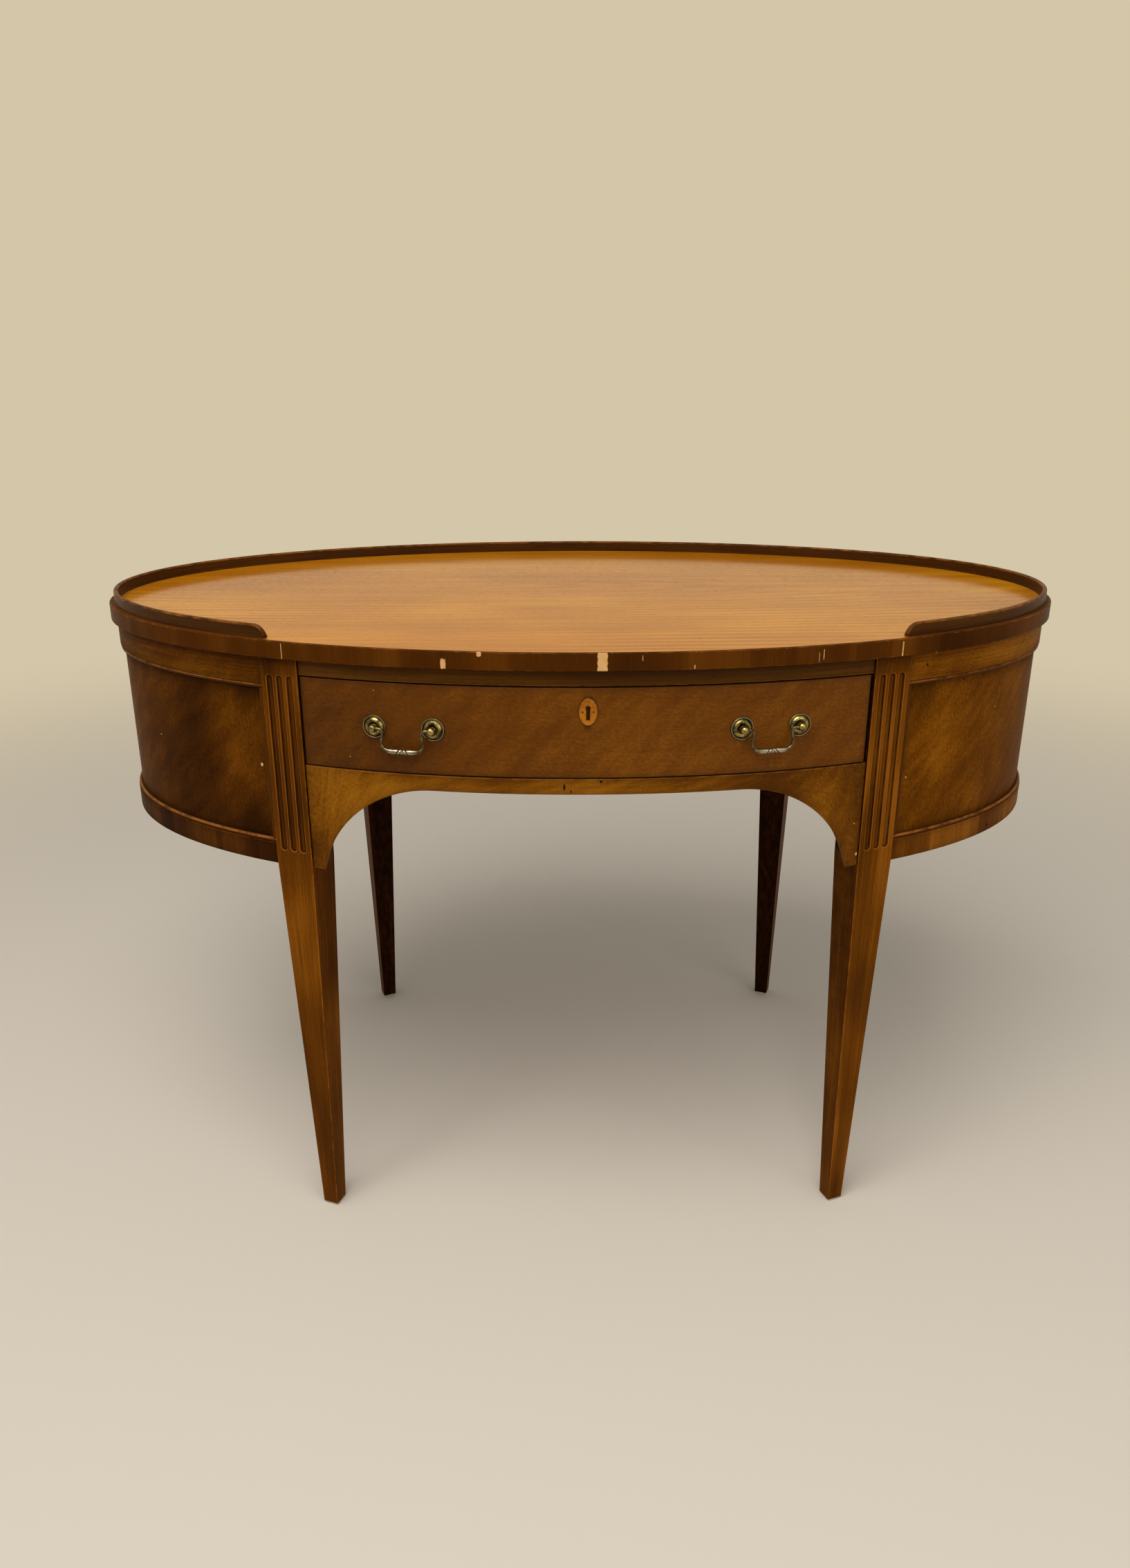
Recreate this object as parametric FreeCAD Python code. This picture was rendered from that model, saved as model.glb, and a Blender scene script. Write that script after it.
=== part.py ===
"""Oval writing desk with one bowed drawer, built as separate pieces, in millimetres.

The origin is on the floor under the middle of the oval. +X runs along the oval's long axis,
-Y is the side with the drawer, and +Z is up.
"""
import FreeCAD
import Part
import math
import os

Vector = FreeCAD.Vector

# Oval top
top_length = 1214.0
top_depth = 710.0
top_height = 760.0
top_thickness = 20.0
edge_band_thickness = 3.0
edge_round = 1.2

# Gallery on the top, open at the front
gallery_ledge = 6.5
gallery_thickness = 5.5
gallery_height = 15.0
gallery_groove_depth = 4.0
gallery_round = 2.2
gallery_end_x = 350.0

# How far each face lies inside the edge of the top
pilaster_inset = 7.0
front_inset = 10.0
panel_inset = 12.0

# Case and legs
case_depth = 248.0
leg_face_x = 337.5
leg_width = 47.0
foot_width = 20.5
glide_height = 3.0
glide_margin = 0.8

# Flutes in each pilaster
flute_count = 3
flute_pitch = 12.6
flute_width = 8.2
flute_depth = 2.6
flute_bottom_gap = 18.0
flute_top_gap = 20.0

# Drawer opening and the rails round it
top_rail_height = 18.5
top_rail_width = 28.0
drawer_opening_height = 103.5
rail_thickness = 18.0
bearer_width = 20.0
bearer_height = 17.5

# Arch of the aprons
arch_crown_drop = 18.0
arch_spring_x = 300.0
arch_radius = 133.0

# Tenons of the rails
tenon_length = 16.0
tenon_thickness = 8.0
tenon_shoulder = 5.0
tenon_root = 5.0
top_rail_tenon_margin = 4.0
apron_tenon_height = 60.0
apron_tenon_margin = 10.0
panel_tenon_height = 70.0

# Curved ends
panel_thickness = 10.0
frieze_height = 32.0
base_rail_height = 26.0
bead_width = 5.0
bead_projection = 4.4
bead_round = 2.1

# Inner boards
kneehole_wall_thickness = 10.0
end_floor_thickness = 8.0
end_floor_rise = 25.0
runner_width = 22.0
runner_height = 20.0
runner_back_y = 225.0
glue_block_width = 25.0
glue_block_height = 25.0
glue_block_length = 60.0
fixing_spacing = 150.0

# Screws through the kickers into the top
screw_radius = 2.0
screw_head_radius = 4.0
screw_head_height = 3.0
screw_counterbore_depth = 6.0
screw_bite = 12.0

# Drawer
drawer_gap_side = 2.0
drawer_gap_height = 1.5
drawer_front_thickness = 22.0
drawer_box_gap = 1.0
drawer_running_gap = 0.3
drawer_side_thickness = 10.0
drawer_side_height = 91.7
drawer_back_y = 205.0
drawer_back_thickness = 8.0
drawer_back_height = 73.0
drawer_bottom_rise = 7.7
drawer_bottom_thickness = 6.0
drawer_groove_depth = 5.0
kicker_gap = 1.5
stop_length = 30.0
stop_width = 12.0
stop_height = 7.0
stop_x = 150.0

# Handles
handle_x = 198.5
handle_spacing = 66.0
handle_rise = 1.4
rosette_radius = 13.0
rosette_rim_width = 1.8
rosette_rim_height = 2.2
rosette_groove_height = 1.4
rosette_dome_height = 4.4
rosette_dome_flat = 3.4
post_radius = 2.3
post_reach = 8.5
post_tail = 6.0
ball_radius = 4.6
nut_radius = 5.5
nut_thickness = 3.5
nut_seat_depth = 2.0
post_seat_depth = 1.0
bail_radius = 1.75
bail_drop = 25.0
bail_width = 45.6
bail_shoulder_radius = 4.5
bail_corner_radius = 9.0
bail_pin_past = 1.5
grip_length = 30.0
grip_radius = 3.1

# Escutcheon and lock
escutcheon_width = 20.0
escutcheon_height = 30.0
escutcheon_drop = 26.2
escutcheon_depth = 1.6
escutcheon_proud = 0.6
keyhole_radius = 2.6
keyhole_slot_width = 4.0
keyhole_head_rise = 4.0
keyhole_slot_drop = 9.0
pin_radius = 0.8
pin_length = 5.0
pin_offset = 5.6
lock_width = 56.0
lock_height = 44.0
lock_thickness = 11.0
lock_proud = 2.0
bolt_width = 16.0
bolt_thickness = 5.0
bolt_height = 20.0
bolt_throw = 7.0
bolt_sink = 0.5
bolt_front_wall = 2.5
strike_room = 2.0
lock_screw_radius = 1.3
lock_screw_head_radius = 2.8
lock_screw_head_height = 1.2
lock_screw_margin_x = 6.0
lock_screw_margin_z = 6.0
lock_screw_bite = 8.0

# Fits
glue_line = 0.05
hole_clearance = 0.05
slide_clearance = 0.06
overcut = 5.0

# Heights and places that follow from the sizes above
underside = top_height - top_thickness
case_bottom = underside - case_depth
opening_top = underside - top_rail_height
opening_bottom = opening_top - drawer_opening_height
arch_crown = opening_bottom - arch_crown_drop
drawer_top = opening_top - drawer_gap_height
drawer_bottom = opening_bottom + drawer_gap_height
drawer_middle = (drawer_top + drawer_bottom) / 2
drawer_back_inset = front_inset + drawer_front_thickness
side_bottom = opening_bottom + drawer_running_gap
side_top = side_bottom + drawer_side_height
kicker_bottom = side_top + kicker_gap
panel_back_inset = panel_inset + panel_thickness
gallery_outer = gallery_ledge
gallery_inner = gallery_ledge + gallery_thickness
gallery_foot = top_height - gallery_groove_depth
gallery_crest = top_height + gallery_height
frieze_bottom = underside - frieze_height
base_rail_top = case_bottom + base_rail_height
bead_inset = panel_inset - bead_projection
strike_depth = bolt_throw + strike_room
SIDES = (("left", -1), ("right", 1))
CORNERS = (("front_left", -1, -1), ("front_right", 1, -1), ("rear_left", -1, 1), ("rear_right", 1, 1))


# Oval forms

def half_axes(inset):
    """Half length and half depth of the oval that lies inset from the edge of the top."""
    return top_length / 2 - inset, top_depth / 2 - inset


def oval_y(inset, x):
    """Distance of an oval from the long axis at a place along it."""
    a, b = half_axes(inset)
    return b * math.sqrt(1 - (x / a) ** 2)


def oval_turn(inset, x):
    """Angle in degrees between an oval's outline and the long axis at a place along it."""
    a, b = half_axes(inset)
    return math.degrees(math.atan2(b * b * x, a * a * oval_y(inset, x)))


def oval(inset, z_low, z_high):
    """Solid oval prism."""
    a, b = half_axes(inset)
    outline = Part.Ellipse(Vector(0, 0, z_low), a, b).toShape()
    return Part.Face(Part.Wire(outline)).extrude(Vector(0, 0, z_high - z_low))


def oval_ring(outer_inset, inner_inset, z_low, z_high):
    """Oval wall between two outlines."""
    inner = oval(inner_inset, z_low - overcut, z_high + overcut)
    return oval(outer_inset, z_low, z_high).cut(inner)


def box(x_low, x_high, y_low, y_high, z_low, z_high):
    """Box between two corners."""
    return Part.makeBox(x_high - x_low, y_high - y_low, z_high - z_low, Vector(x_low, y_low, z_low))


def mirrored(shape, side):
    """A shape made for the right side, on the side asked for."""
    if side > 0:
        return shape
    return shape.mirror(Vector(0, 0, 0), Vector(1, 0, 0))


def largest(shape):
    """The largest solid of a shape."""
    return max(shape.Solids, key=lambda solid: solid.Volume)


def rod(radius, start, end):
    """Round rod between two points."""
    axis = end - start
    return Part.makeCylinder(radius, axis.Length, start, axis)


# Legs and what stands between them

leg_turn = oval_turn(pilaster_inset, leg_face_x)
leg_axis_x = leg_face_x - leg_width / 2 * math.sin(math.radians(leg_turn))
leg_axis_y = oval_y(pilaster_inset, leg_face_x) - leg_width / 2 * math.cos(math.radians(leg_turn))
leg_corner_reach = leg_width / 2 * (math.cos(math.radians(leg_turn)) + math.sin(math.radians(leg_turn)))
leg_corner_x = leg_axis_x - leg_corner_reach


def at_leg(shape, side_x, side_y):
    """Stand a shape made about a leg's own axis, its face towards -Y, at one corner of the case."""
    placed = shape.copy()
    placed.rotate(Vector(0, 0, 0), Vector(0, 0, 1), leg_turn)
    placed.translate(Vector(leg_axis_x, -leg_axis_y, 0))
    if side_y > 0:
        placed = placed.mirror(Vector(0, 0, 0), Vector(0, 1, 0))
    return mirrored(placed, side_x)


def leg_blocks(gap):
    """The four legs' square posts, each grown by a gap."""
    half = leg_width / 2 + gap
    block = box(-half, half, -half, half, case_bottom - overcut, underside + overcut)
    return [at_leg(block, side_x, side_y) for name, side_x, side_y in CORNERS]


def between_legs(ring, place, gap):
    """The stretch of an oval wall that stands between two legs."""
    pieces = ring.cut(leg_blocks(gap)).Solids
    order = {
        "front": lambda piece: -piece.CenterOfMass.y,
        "back": lambda piece: piece.CenterOfMass.y,
        "right": lambda piece: piece.CenterOfMass.x,
    }
    return max(pieces, key=order[place])


top_rail_tenon = (opening_top + top_rail_tenon_margin, underside - top_rail_tenon_margin)
apron_tenon = (opening_bottom - apron_tenon_margin - apron_tenon_height, opening_bottom - apron_tenon_margin)
panel_tenon = (underside - top_rail_tenon_margin - panel_tenon_height, underside - top_rail_tenon_margin)
FRONT_TENONS = (top_rail_tenon, apron_tenon)
REAR_TENONS = (panel_tenon, apron_tenon)


def tenon(span, gap):
    """Tenon that enters a leg's inner side, about the leg's own axis, grown by a gap."""
    face = -leg_width / 2
    y_low = face + front_inset - pilaster_inset + tenon_shoulder
    return box(face - tenon_root, face + tenon_length + gap, y_low - gap, y_low + tenon_thickness + gap,
               span[0] - gap, span[1] + gap)


def with_tenons(rail, span, side_y):
    """A rail with a tenon at each end."""
    return rail.fuse([at_leg(tenon(span, 0), side_x, side_y) for name, side_x in SIDES])


def square(width, z):
    """Square outline about a leg's axis."""
    half = width / 2
    corners = [Vector(-half, -half, z), Vector(half, -half, z), Vector(half, half, z), Vector(-half, half, z)]
    return Part.makePolygon(corners + corners[:1])


def flute(x):
    """Round-bottomed channel with round ends, cut in a pilaster's face."""
    radius = (flute_width ** 2 / 4 + flute_depth ** 2) / (2 * flute_depth)
    y = -leg_width / 2 - radius + flute_depth
    low = Vector(x, y, case_bottom + flute_bottom_gap + flute_width / 2)
    high = Vector(x, y, underside - flute_top_gap - flute_width / 2)
    return rod(radius, low, high).fuse([Part.makeSphere(radius, low), Part.makeSphere(radius, high)])


def leg(tenons):
    """Fluted pilaster and tapered leg in one, about its own axis, with mortises for the rails."""
    half = leg_width / 2
    post = box(-half, half, -half, half, case_bottom, underside)
    taper = Part.makeLoft([square(foot_width, glide_height), square(leg_width, case_bottom)], True, True)
    first = -(flute_count - 1) / 2
    cuts = [flute((first + index) * flute_pitch) for index in range(flute_count)]
    cuts += [tenon(span, glue_line) for span in tenons]
    return post.fuse(taper).removeSplitter().cut(cuts)


def make_legs():
    """Four legs and the pads under them."""
    pieces = {}
    pads = []
    half = foot_width / 2 - glide_margin
    for name, side_x, side_y in CORNERS:
        tenons = FRONT_TENONS if side_y < 0 else REAR_TENONS
        pieces["leg_" + name] = at_leg(leg(tenons), side_x, side_y)
        pads.append(at_leg(box(-half, half, -half, half, 0, glide_height), side_x, side_y))
    pieces["foot_glides"] = Part.makeCompound(pads)
    return pieces


# Top

kicker_middle_x = leg_corner_x - runner_width / 2
screw_places = [(side * kicker_middle_x, row * fixing_spacing) for name, side in SIDES for row in (-1, 0, 1)]


def screw_head_top():
    """Height at which a top screw's head ends and its shank begins."""
    return kicker_bottom + screw_counterbore_depth


def gallery_end():
    """What is cut away to round an end of the gallery down to the top, where it starts along +X."""
    reach = gallery_thickness + overcut
    low = gallery_foot - overcut
    block = box(-reach, gallery_height, -reach, reach, low, gallery_crest + overcut)
    centre = Vector(gallery_height, 0, top_height)
    quarter = rod(gallery_height, centre - Vector(0, reach, 0), centre + Vector(0, reach, 0))
    tongue = box(0, gallery_height, -reach, reach, low, top_height)
    return block.cut([quarter, tongue])


def groove_end():
    """What is cut away where the gallery's groove starts along +X."""
    reach = gallery_thickness + overcut
    return box(-reach, -glue_line, -reach, reach, gallery_foot - overcut, gallery_crest + overcut)


def open_front(ring, end):
    """The gallery's oval ring without its front stretch, shaped by an end at both sides."""
    middle = (gallery_outer + gallery_inner) / 2
    placed = end.copy()
    placed.rotate(Vector(0, 0, 0), Vector(0, 0, 1), oval_turn(middle, gallery_end_x))
    placed.translate(Vector(gallery_end_x, -oval_y(middle, gallery_end_x), 0))
    front_x = gallery_end_x - gallery_thickness
    front = box(-front_x, front_x, -top_depth, 0, gallery_foot - overcut, gallery_crest + overcut)
    return ring.cut([front] + [mirrored(placed, side) for name, side in SIDES])


def make_top():
    """Top board, its edge band and the gallery in its groove."""
    board = oval(edge_band_thickness + glue_line, underside, top_height)
    pilots = [
        rod(screw_radius + hole_clearance, Vector(x, y, underside - overcut),
            Vector(x, y, underside + screw_bite + hole_clearance))
        for x, y in screw_places
    ]
    groove = oval_ring(gallery_outer - glue_line, gallery_inner + glue_line,
                       gallery_foot - glue_line, gallery_crest)
    band = oval_ring(0, edge_band_thickness, underside, top_height)
    outer_edges = [edge for edge in band.Edges if is_oval_edge(edge, 0)]
    gallery = oval_ring(gallery_outer, gallery_inner, gallery_foot, gallery_crest)
    crest = [edge for edge in gallery.Edges if edge.CenterOfMass.z > gallery_crest - glue_line
             and len(edge.Vertexes) == 1]
    gallery = gallery.makeFillet(gallery_round, crest)
    return {
        "desk_top": board.cut(pilots + [open_front(groove, groove_end())]),
        "top_edge_band": band.makeFillet(edge_round, outer_edges),
        "gallery_rail": open_front(gallery, gallery_end()),
    }


def is_oval_edge(edge, inset):
    """Whether an edge is the closed oval at an inset."""
    curve = edge.Curve
    return isinstance(curve, Part.Ellipse) and abs(curve.MajorRadius - half_axes(inset)[0]) < glue_line


# Rails, aprons and ends

def arch():
    """Space under an apron, from side to side, as a prism through the whole depth."""
    flat = arch_spring_x - arch_reach()
    low = case_bottom - overcut
    turn = math.radians(45)
    middle = Vector(flat + arch_radius * math.sin(turn), 0, arch_crown - arch_radius * (1 - math.cos(turn)))
    crown = Vector(flat, 0, arch_crown)
    spring = Vector(arch_spring_x, 0, case_bottom)
    foot = Vector(arch_spring_x, 0, low)
    flip = lambda point: Vector(-point.x, point.y, point.z)
    edges = [
        Part.LineSegment(flip(foot), foot),
        Part.LineSegment(foot, spring),
        Part.Arc(spring, middle, crown),
        Part.LineSegment(crown, flip(crown)),
        Part.Arc(flip(crown), flip(middle), flip(spring)),
        Part.LineSegment(flip(spring), flip(foot)),
    ]
    face = Part.Face(Part.Wire([edge.toShape() for edge in edges]))
    face.translate(Vector(0, -top_depth / 2, 0))
    return face.extrude(Vector(0, top_depth, 0))


def arch_reach():
    """Run along the long axis that an arch's round shoulder takes to come down to the case bottom."""
    return math.sqrt(arch_radius ** 2 - (arch_radius - arch_crown + case_bottom) ** 2)


def strike_slot():
    """Mortise in the top rail that the lock bolt shoots into."""
    half = bolt_width / 2 + strike_room
    return box(-half, half, bolt_front - strike_room, bolt_front + bolt_thickness + strike_room,
               opening_top - overcut, opening_top + strike_depth)


def make_rails():
    """Rails, aprons and back panel between the legs."""
    rail_back = front_inset + rail_thickness
    top_rail = between_legs(oval_ring(front_inset, front_inset + top_rail_width, opening_top, underside),
                            "front", glue_line)
    apron_ring = oval_ring(front_inset, rail_back, case_bottom, opening_bottom)
    panel_ring = oval_ring(front_inset, rail_back, opening_bottom, underside)
    bearer_front = rail_back + glue_line
    bearer_ring = oval_ring(bearer_front, bearer_front + bearer_width,
                            opening_bottom - bearer_height, opening_bottom)
    aprons = {
        place: between_legs(apron_ring, place, glue_line).cut(arch())
        for place in ("front", "back")
    }
    return {
        "front_top_rail": with_tenons(top_rail, top_rail_tenon, -1).cut(strike_slot()),
        "front_apron": with_tenons(aprons["front"], apron_tenon, -1),
        "front_bearer": between_legs(bearer_ring, "front", glue_line),
        "back_panel": with_tenons(between_legs(panel_ring, "back", glue_line), panel_tenon, 1),
        "rear_apron": with_tenons(aprons["back"], apron_tenon, 1),
    }


def rounded_bead(strip):
    """A strip with its outer long edges rounded over."""
    a, b = half_axes(panel_inset - bead_projection / 2)
    outer = [
        edge for edge in strip.Edges
        if edge.Length > 2 * bead_width
        and all((vertex.X / a) ** 2 + (vertex.Y / b) ** 2 > 1 for vertex in edge.Vertexes)
    ]
    return strip.makeFillet(bead_round, outer)


def end_beads():
    """Frame of beads round the right end panel: two curved strips and two upright ones."""
    seat = panel_inset - glue_line
    low = (base_rail_top, base_rail_top + bead_width)
    high = (frieze_bottom - bead_width, frieze_bottom)
    curved = [between_legs(oval_ring(bead_inset, seat, *span), "right", glue_line) for span in (low, high)]
    upright = between_legs(oval_ring(bead_inset, seat, low[1], high[0]), "right", glue_line)
    strips = upright.common(Part.makeCompound(leg_blocks(bead_width + glue_line))).Solids
    return Part.makeCompound([rounded_bead(strip) for strip in curved + strips])


def make_ends():
    """Curved end panels with their friezes, base rails and beads."""
    seat = panel_inset - glue_line
    walls = {
        "end_panel_": oval_ring(panel_inset, panel_back_inset, case_bottom, underside),
        "end_frieze_": oval_ring(pilaster_inset, seat, frieze_bottom, underside),
        "end_base_rail_": oval_ring(pilaster_inset, seat, case_bottom, base_rail_top),
    }
    ends = {name: between_legs(ring, "right", glue_line) for name, ring in walls.items()}
    ends["panel_beads_"] = end_beads()
    return {name + place: mirrored(shape, side) for place, side in SIDES for name, shape in ends.items()}


# Boards inside the case

def make_inner_boards():
    """Kneehole walls, end floors, runners, kickers, stops, glue blocks and top screws."""
    pieces = {}
    wall_out = leg_corner_x + kneehole_wall_thickness
    floor_low = case_bottom + end_floor_rise
    wall_box = box(leg_corner_x, wall_out, -leg_axis_y, leg_axis_y, floor_low, underside)
    wall = largest(wall_box.cut(leg_blocks(glue_line)))
    floor_board = oval(panel_back_inset + glue_line, floor_low, floor_low + end_floor_thickness)
    beyond_wall = box(wall_out + glue_line, top_length, -top_depth, top_depth, case_bottom, underside)
    floor_board = largest(floor_board.common(beyond_wall).cut(leg_blocks(glue_line)))
    inner_x = leg_corner_x - runner_width
    outer_x = leg_corner_x - glue_line
    bearer_back = front_inset + rail_thickness + bearer_width + 2 * glue_line
    runner = box(inner_x, outer_x, -top_depth / 2, runner_back_y,
                 opening_bottom - runner_height, opening_bottom)
    runner = runner.common(oval(bearer_back, case_bottom, underside))
    kicker = box(inner_x, outer_x, -top_depth / 2, runner_back_y, kicker_bottom, underside)
    kicker = kicker.common(oval(front_inset + top_rail_width + glue_line, case_bottom, underside))
    rows = [row * fixing_spacing for row in (-1, 0, 1)]
    kicker = kicker.cut([kicker_hole(y) for y in rows])
    blocks = [
        box(wall_out, wall_out + glue_block_width, y - glue_block_length / 2, y + glue_block_length / 2,
            underside - glue_block_height, underside)
        for y in rows
    ]
    for place, side in SIDES:
        pieces["kneehole_wall_" + place] = mirrored(wall, side)
        pieces["end_floor_" + place] = mirrored(floor_board, side)
        pieces["drawer_runner_" + place] = mirrored(runner, side)
        pieces["drawer_kicker_" + place] = mirrored(kicker, side)
    stop = drawer_stop()
    pieces["drawer_stops"] = Part.makeCompound([mirrored(stop, side) for place, side in SIDES])
    blocks = [mirrored(block, side) for place, side in SIDES for block in blocks]
    pieces["glue_blocks"] = Part.makeCompound(blocks)
    pieces["top_screws"] = Part.makeCompound([top_screw(x, y) for x, y in screw_places])
    return pieces


def kicker_hole(y):
    """Stepped hole for a top screw in the right kicker."""
    start = Vector(kicker_middle_x, y, kicker_bottom - overcut)
    shoulder = Vector(kicker_middle_x, y, screw_head_top())
    through = rod(screw_radius + hole_clearance, start, Vector(kicker_middle_x, y, underside + overcut))
    return rod(screw_head_radius + hole_clearance, start, shoulder).fuse(through)


def top_screw(x, y):
    """Screw with a flat head, driven up through a kicker into the top."""
    shoulder = Vector(x, y, screw_head_top())
    head = rod(screw_head_radius, shoulder - Vector(0, 0, screw_head_height), shoulder)
    return head.fuse(rod(screw_radius, shoulder, Vector(x, y, underside + screw_bite)))


def drawer_stop():
    """Block on the bearer that stops the drawer front flush with the apron."""
    front = drawer_back_inset + drawer_running_gap
    ring = oval_ring(front, front + stop_width, opening_bottom, opening_bottom + stop_height)
    cut = box(stop_x - stop_length / 2, stop_x + stop_length / 2, -top_depth, 0, case_bottom, underside)
    return ring.common(cut)


# Drawer

bolt_front = -half_axes(drawer_back_inset)[1] + lock_proud - lock_thickness + bolt_front_wall
key_z = drawer_top - escutcheon_drop


def escutcheon_plate(gap):
    """Oval plate on the drawer's face at the keyhole, grown by a gap all round."""
    face = -half_axes(front_inset)[1]
    outline = Part.Ellipse(Vector(0, 0, 0), escutcheon_height / 2 + gap, escutcheon_width / 2 + gap).toShape()
    plate = Part.Face(Part.Wire(outline)).extrude(Vector(0, 0, escutcheon_depth + escutcheon_proud + gap))
    plate.rotate(Vector(0, 0, 0), Vector(0, 0, 1), 90)
    plate.rotate(Vector(0, 0, 0), Vector(1, 0, 0), -90)
    plate.translate(Vector(0, face - escutcheon_proud, key_z))
    return plate


def keyhole(y_low, y_high):
    """Round-headed slot for a key, through a stretch of the depth."""
    head = Vector(0, y_low, key_z + keyhole_head_rise)
    half = keyhole_slot_width / 2
    slot = box(-half, half, y_low, y_high, key_z - keyhole_slot_drop, key_z + keyhole_head_rise)
    return rod(keyhole_radius, head, Vector(0, y_high, head.z)).fuse(slot)


def lock_box(gap):
    """Block of the lock let into the back of the drawer front, grown by a gap below and at the sides."""
    back = -half_axes(drawer_back_inset)[1] + lock_proud
    half = lock_width / 2 + gap
    return box(-half, half, back - lock_thickness - gap, back, drawer_top - lock_height - gap, drawer_top)


def bolt_bar(gap):
    """Lock bolt at rest, grown by a gap."""
    half = bolt_width / 2 + gap
    top = drawer_top - bolt_sink
    return box(-half, half, bolt_front - gap, bolt_front + bolt_thickness + gap,
               top - bolt_height - gap, top + gap)


def lock_screw(x, z, gap):
    """Screw that holds the lock, seated on its back, grown by a gap."""
    seat = -half_axes(drawer_back_inset)[1] + lock_proud
    head = rod(lock_screw_head_radius, Vector(x, seat + lock_screw_head_height, z), Vector(x, seat, z))
    end = Vector(x, seat - lock_thickness - lock_screw_bite + lock_proud - gap, z)
    return rod(lock_screw_radius + gap, Vector(x, seat + gap, z), end).fuse(head)


def lock_screws(gap):
    """The lock's four corner screws."""
    half = lock_width / 2 - lock_screw_margin_x
    rows = (drawer_top - lock_screw_margin_z, drawer_top - lock_height + lock_screw_margin_z)
    return [lock_screw(side * half, z, gap) for name, side in SIDES for z in rows]


def escutcheon_pins(gap):
    """Two round pins that hold the escutcheon."""
    face = -half_axes(front_inset)[1] - escutcheon_proud
    pins = []
    for name, side in SIDES:
        head = Vector(side * pin_offset, face, key_z)
        pins.append(rod(pin_radius + gap, head, head + Vector(0, pin_length + gap, 0)))
    return pins


def at_handle(shape, side):
    """Place a shape made about a handle's middle, alike at both ends, on the drawer's face."""
    placed = shape.copy()
    placed.rotate(Vector(0, 0, 0), Vector(0, 0, 1), side * oval_turn(front_inset, handle_x))
    placed.translate(Vector(side * handle_x, -oval_y(front_inset, handle_x), drawer_middle + handle_rise))
    return placed


def at_posts(shape):
    """A shape made about one post's axis, at all four posts."""
    places = []
    for name, side in SIDES:
        for end in (-1, 1):
            moved = shape.copy()
            moved.translate(Vector(end * handle_spacing / 2, 0, 0))
            places.append(at_handle(moved, side))
    return places


nut_seat = drawer_front_thickness - nut_seat_depth
post_end = drawer_front_thickness + nut_thickness + post_tail


def post_bore(gap):
    """Shank of a handle post through the drawer front, grown by a gap."""
    return rod(post_radius + gap, Vector(0, -post_reach, 0), Vector(0, post_end + gap, 0))


def post_seat(y_low, y_high):
    """Square recess that gives a post or its nut a flat seat on the bowed drawer front."""
    half = nut_radius + hole_clearance
    return box(-half, half, y_low, y_high, -half, half)


def ball_post():
    """Post with a ball end, cross-bored for the bail."""
    ball = Part.makeSphere(ball_radius, Vector(0, -post_reach, 0))
    cross = rod(bail_radius + slide_clearance, Vector(-2 * ball_radius, -post_reach, 0),
                Vector(2 * ball_radius, -post_reach, 0))
    return ball.fuse(post_bore(0)).cut(cross)


def rosette():
    """Round backplate with a raised rim and a low dome, turned about its post."""
    bore = post_radius + hole_clearance
    inner = rosette_radius - rosette_rim_width
    back = Vector(bore, overcut, 0)
    corners = [
        Vector(bore, -rosette_dome_height, 0),
        back,
        Vector(rosette_radius, overcut, 0),
        Vector(rosette_radius, -rosette_rim_height, 0),
        Vector(inner, -rosette_rim_height, 0),
        Vector(inner, -rosette_groove_height, 0),
    ]
    dome_edge = Vector(rosette_dome_flat, -rosette_dome_height, 0)
    middle = (corners[-1] + dome_edge) / 2 + Vector(0, -(rosette_dome_height - rosette_groove_height) / 4, 0)
    edges = [Part.LineSegment(start, end).toShape() for start, end in zip(corners, corners[1:])]
    edges.append(Part.Arc(corners[-1], middle, dome_edge).toShape())
    edges.append(Part.LineSegment(dome_edge, corners[0]).toShape())
    return Part.Face(Part.Wire(edges)).revolve(Vector(0, 0, 0), Vector(0, 1, 0), 360)


def bail():
    """Swan-neck bail that hangs from two ball posts, with a thicker grip at the bottom."""
    y = -post_reach
    point = lambda x, z: Vector(x, y, z)
    pin_end = handle_spacing / 2 + bail_pin_past
    half = bail_width / 2
    shoulder = bail_shoulder_radius
    corner = bail_corner_radius
    diagonal = math.sqrt(0.5)
    right = [
        Part.Arc(point(half - corner, -bail_drop),
                 point(half - corner + corner * diagonal, -bail_drop + corner - corner * diagonal),
                 point(half, -bail_drop + corner)),
        Part.LineSegment(point(half, -bail_drop + corner), point(half, -shoulder)),
        Part.Arc(point(half, -shoulder),
                 point(half + shoulder - shoulder * diagonal, -shoulder + shoulder * diagonal),
                 point(half + shoulder, 0)),
        Part.LineSegment(point(half + shoulder, 0), point(pin_end, 0)),
    ]
    right = [edge.toShape() for edge in right]
    left = [edge.mirror(Vector(0, 0, 0), Vector(1, 0, 0)) for edge in right]
    bar = Part.LineSegment(point(corner - half, -bail_drop), point(half - corner, -bail_drop)).toShape()
    path = Part.Wire(Part.__sortEdges__(left + [bar] + right))
    start = path.OrderedVertexes[0].Point
    section = Part.Wire(Part.Circle(start, Vector(1, 0, 0), bail_radius).toShape())
    wire = path.makePipeShell([section], True, False)
    low = Vector(-grip_length / 2, bail_radius, 0)
    high = Vector(grip_length / 2, bail_radius, 0)
    swell = Part.Arc(low, Vector(0, grip_radius, 0), high).toShape()
    sides = Part.makePolygon([high, Vector(high.x, 0, 0), Vector(low.x, 0, 0), low]).Edges
    grip = Part.Face(Part.Wire([swell] + sides)).revolve(Vector(0, 0, 0), Vector(1, 0, 0), 360)
    grip.translate(point(0, -bail_drop))
    return wire.fuse(grip)


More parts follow.
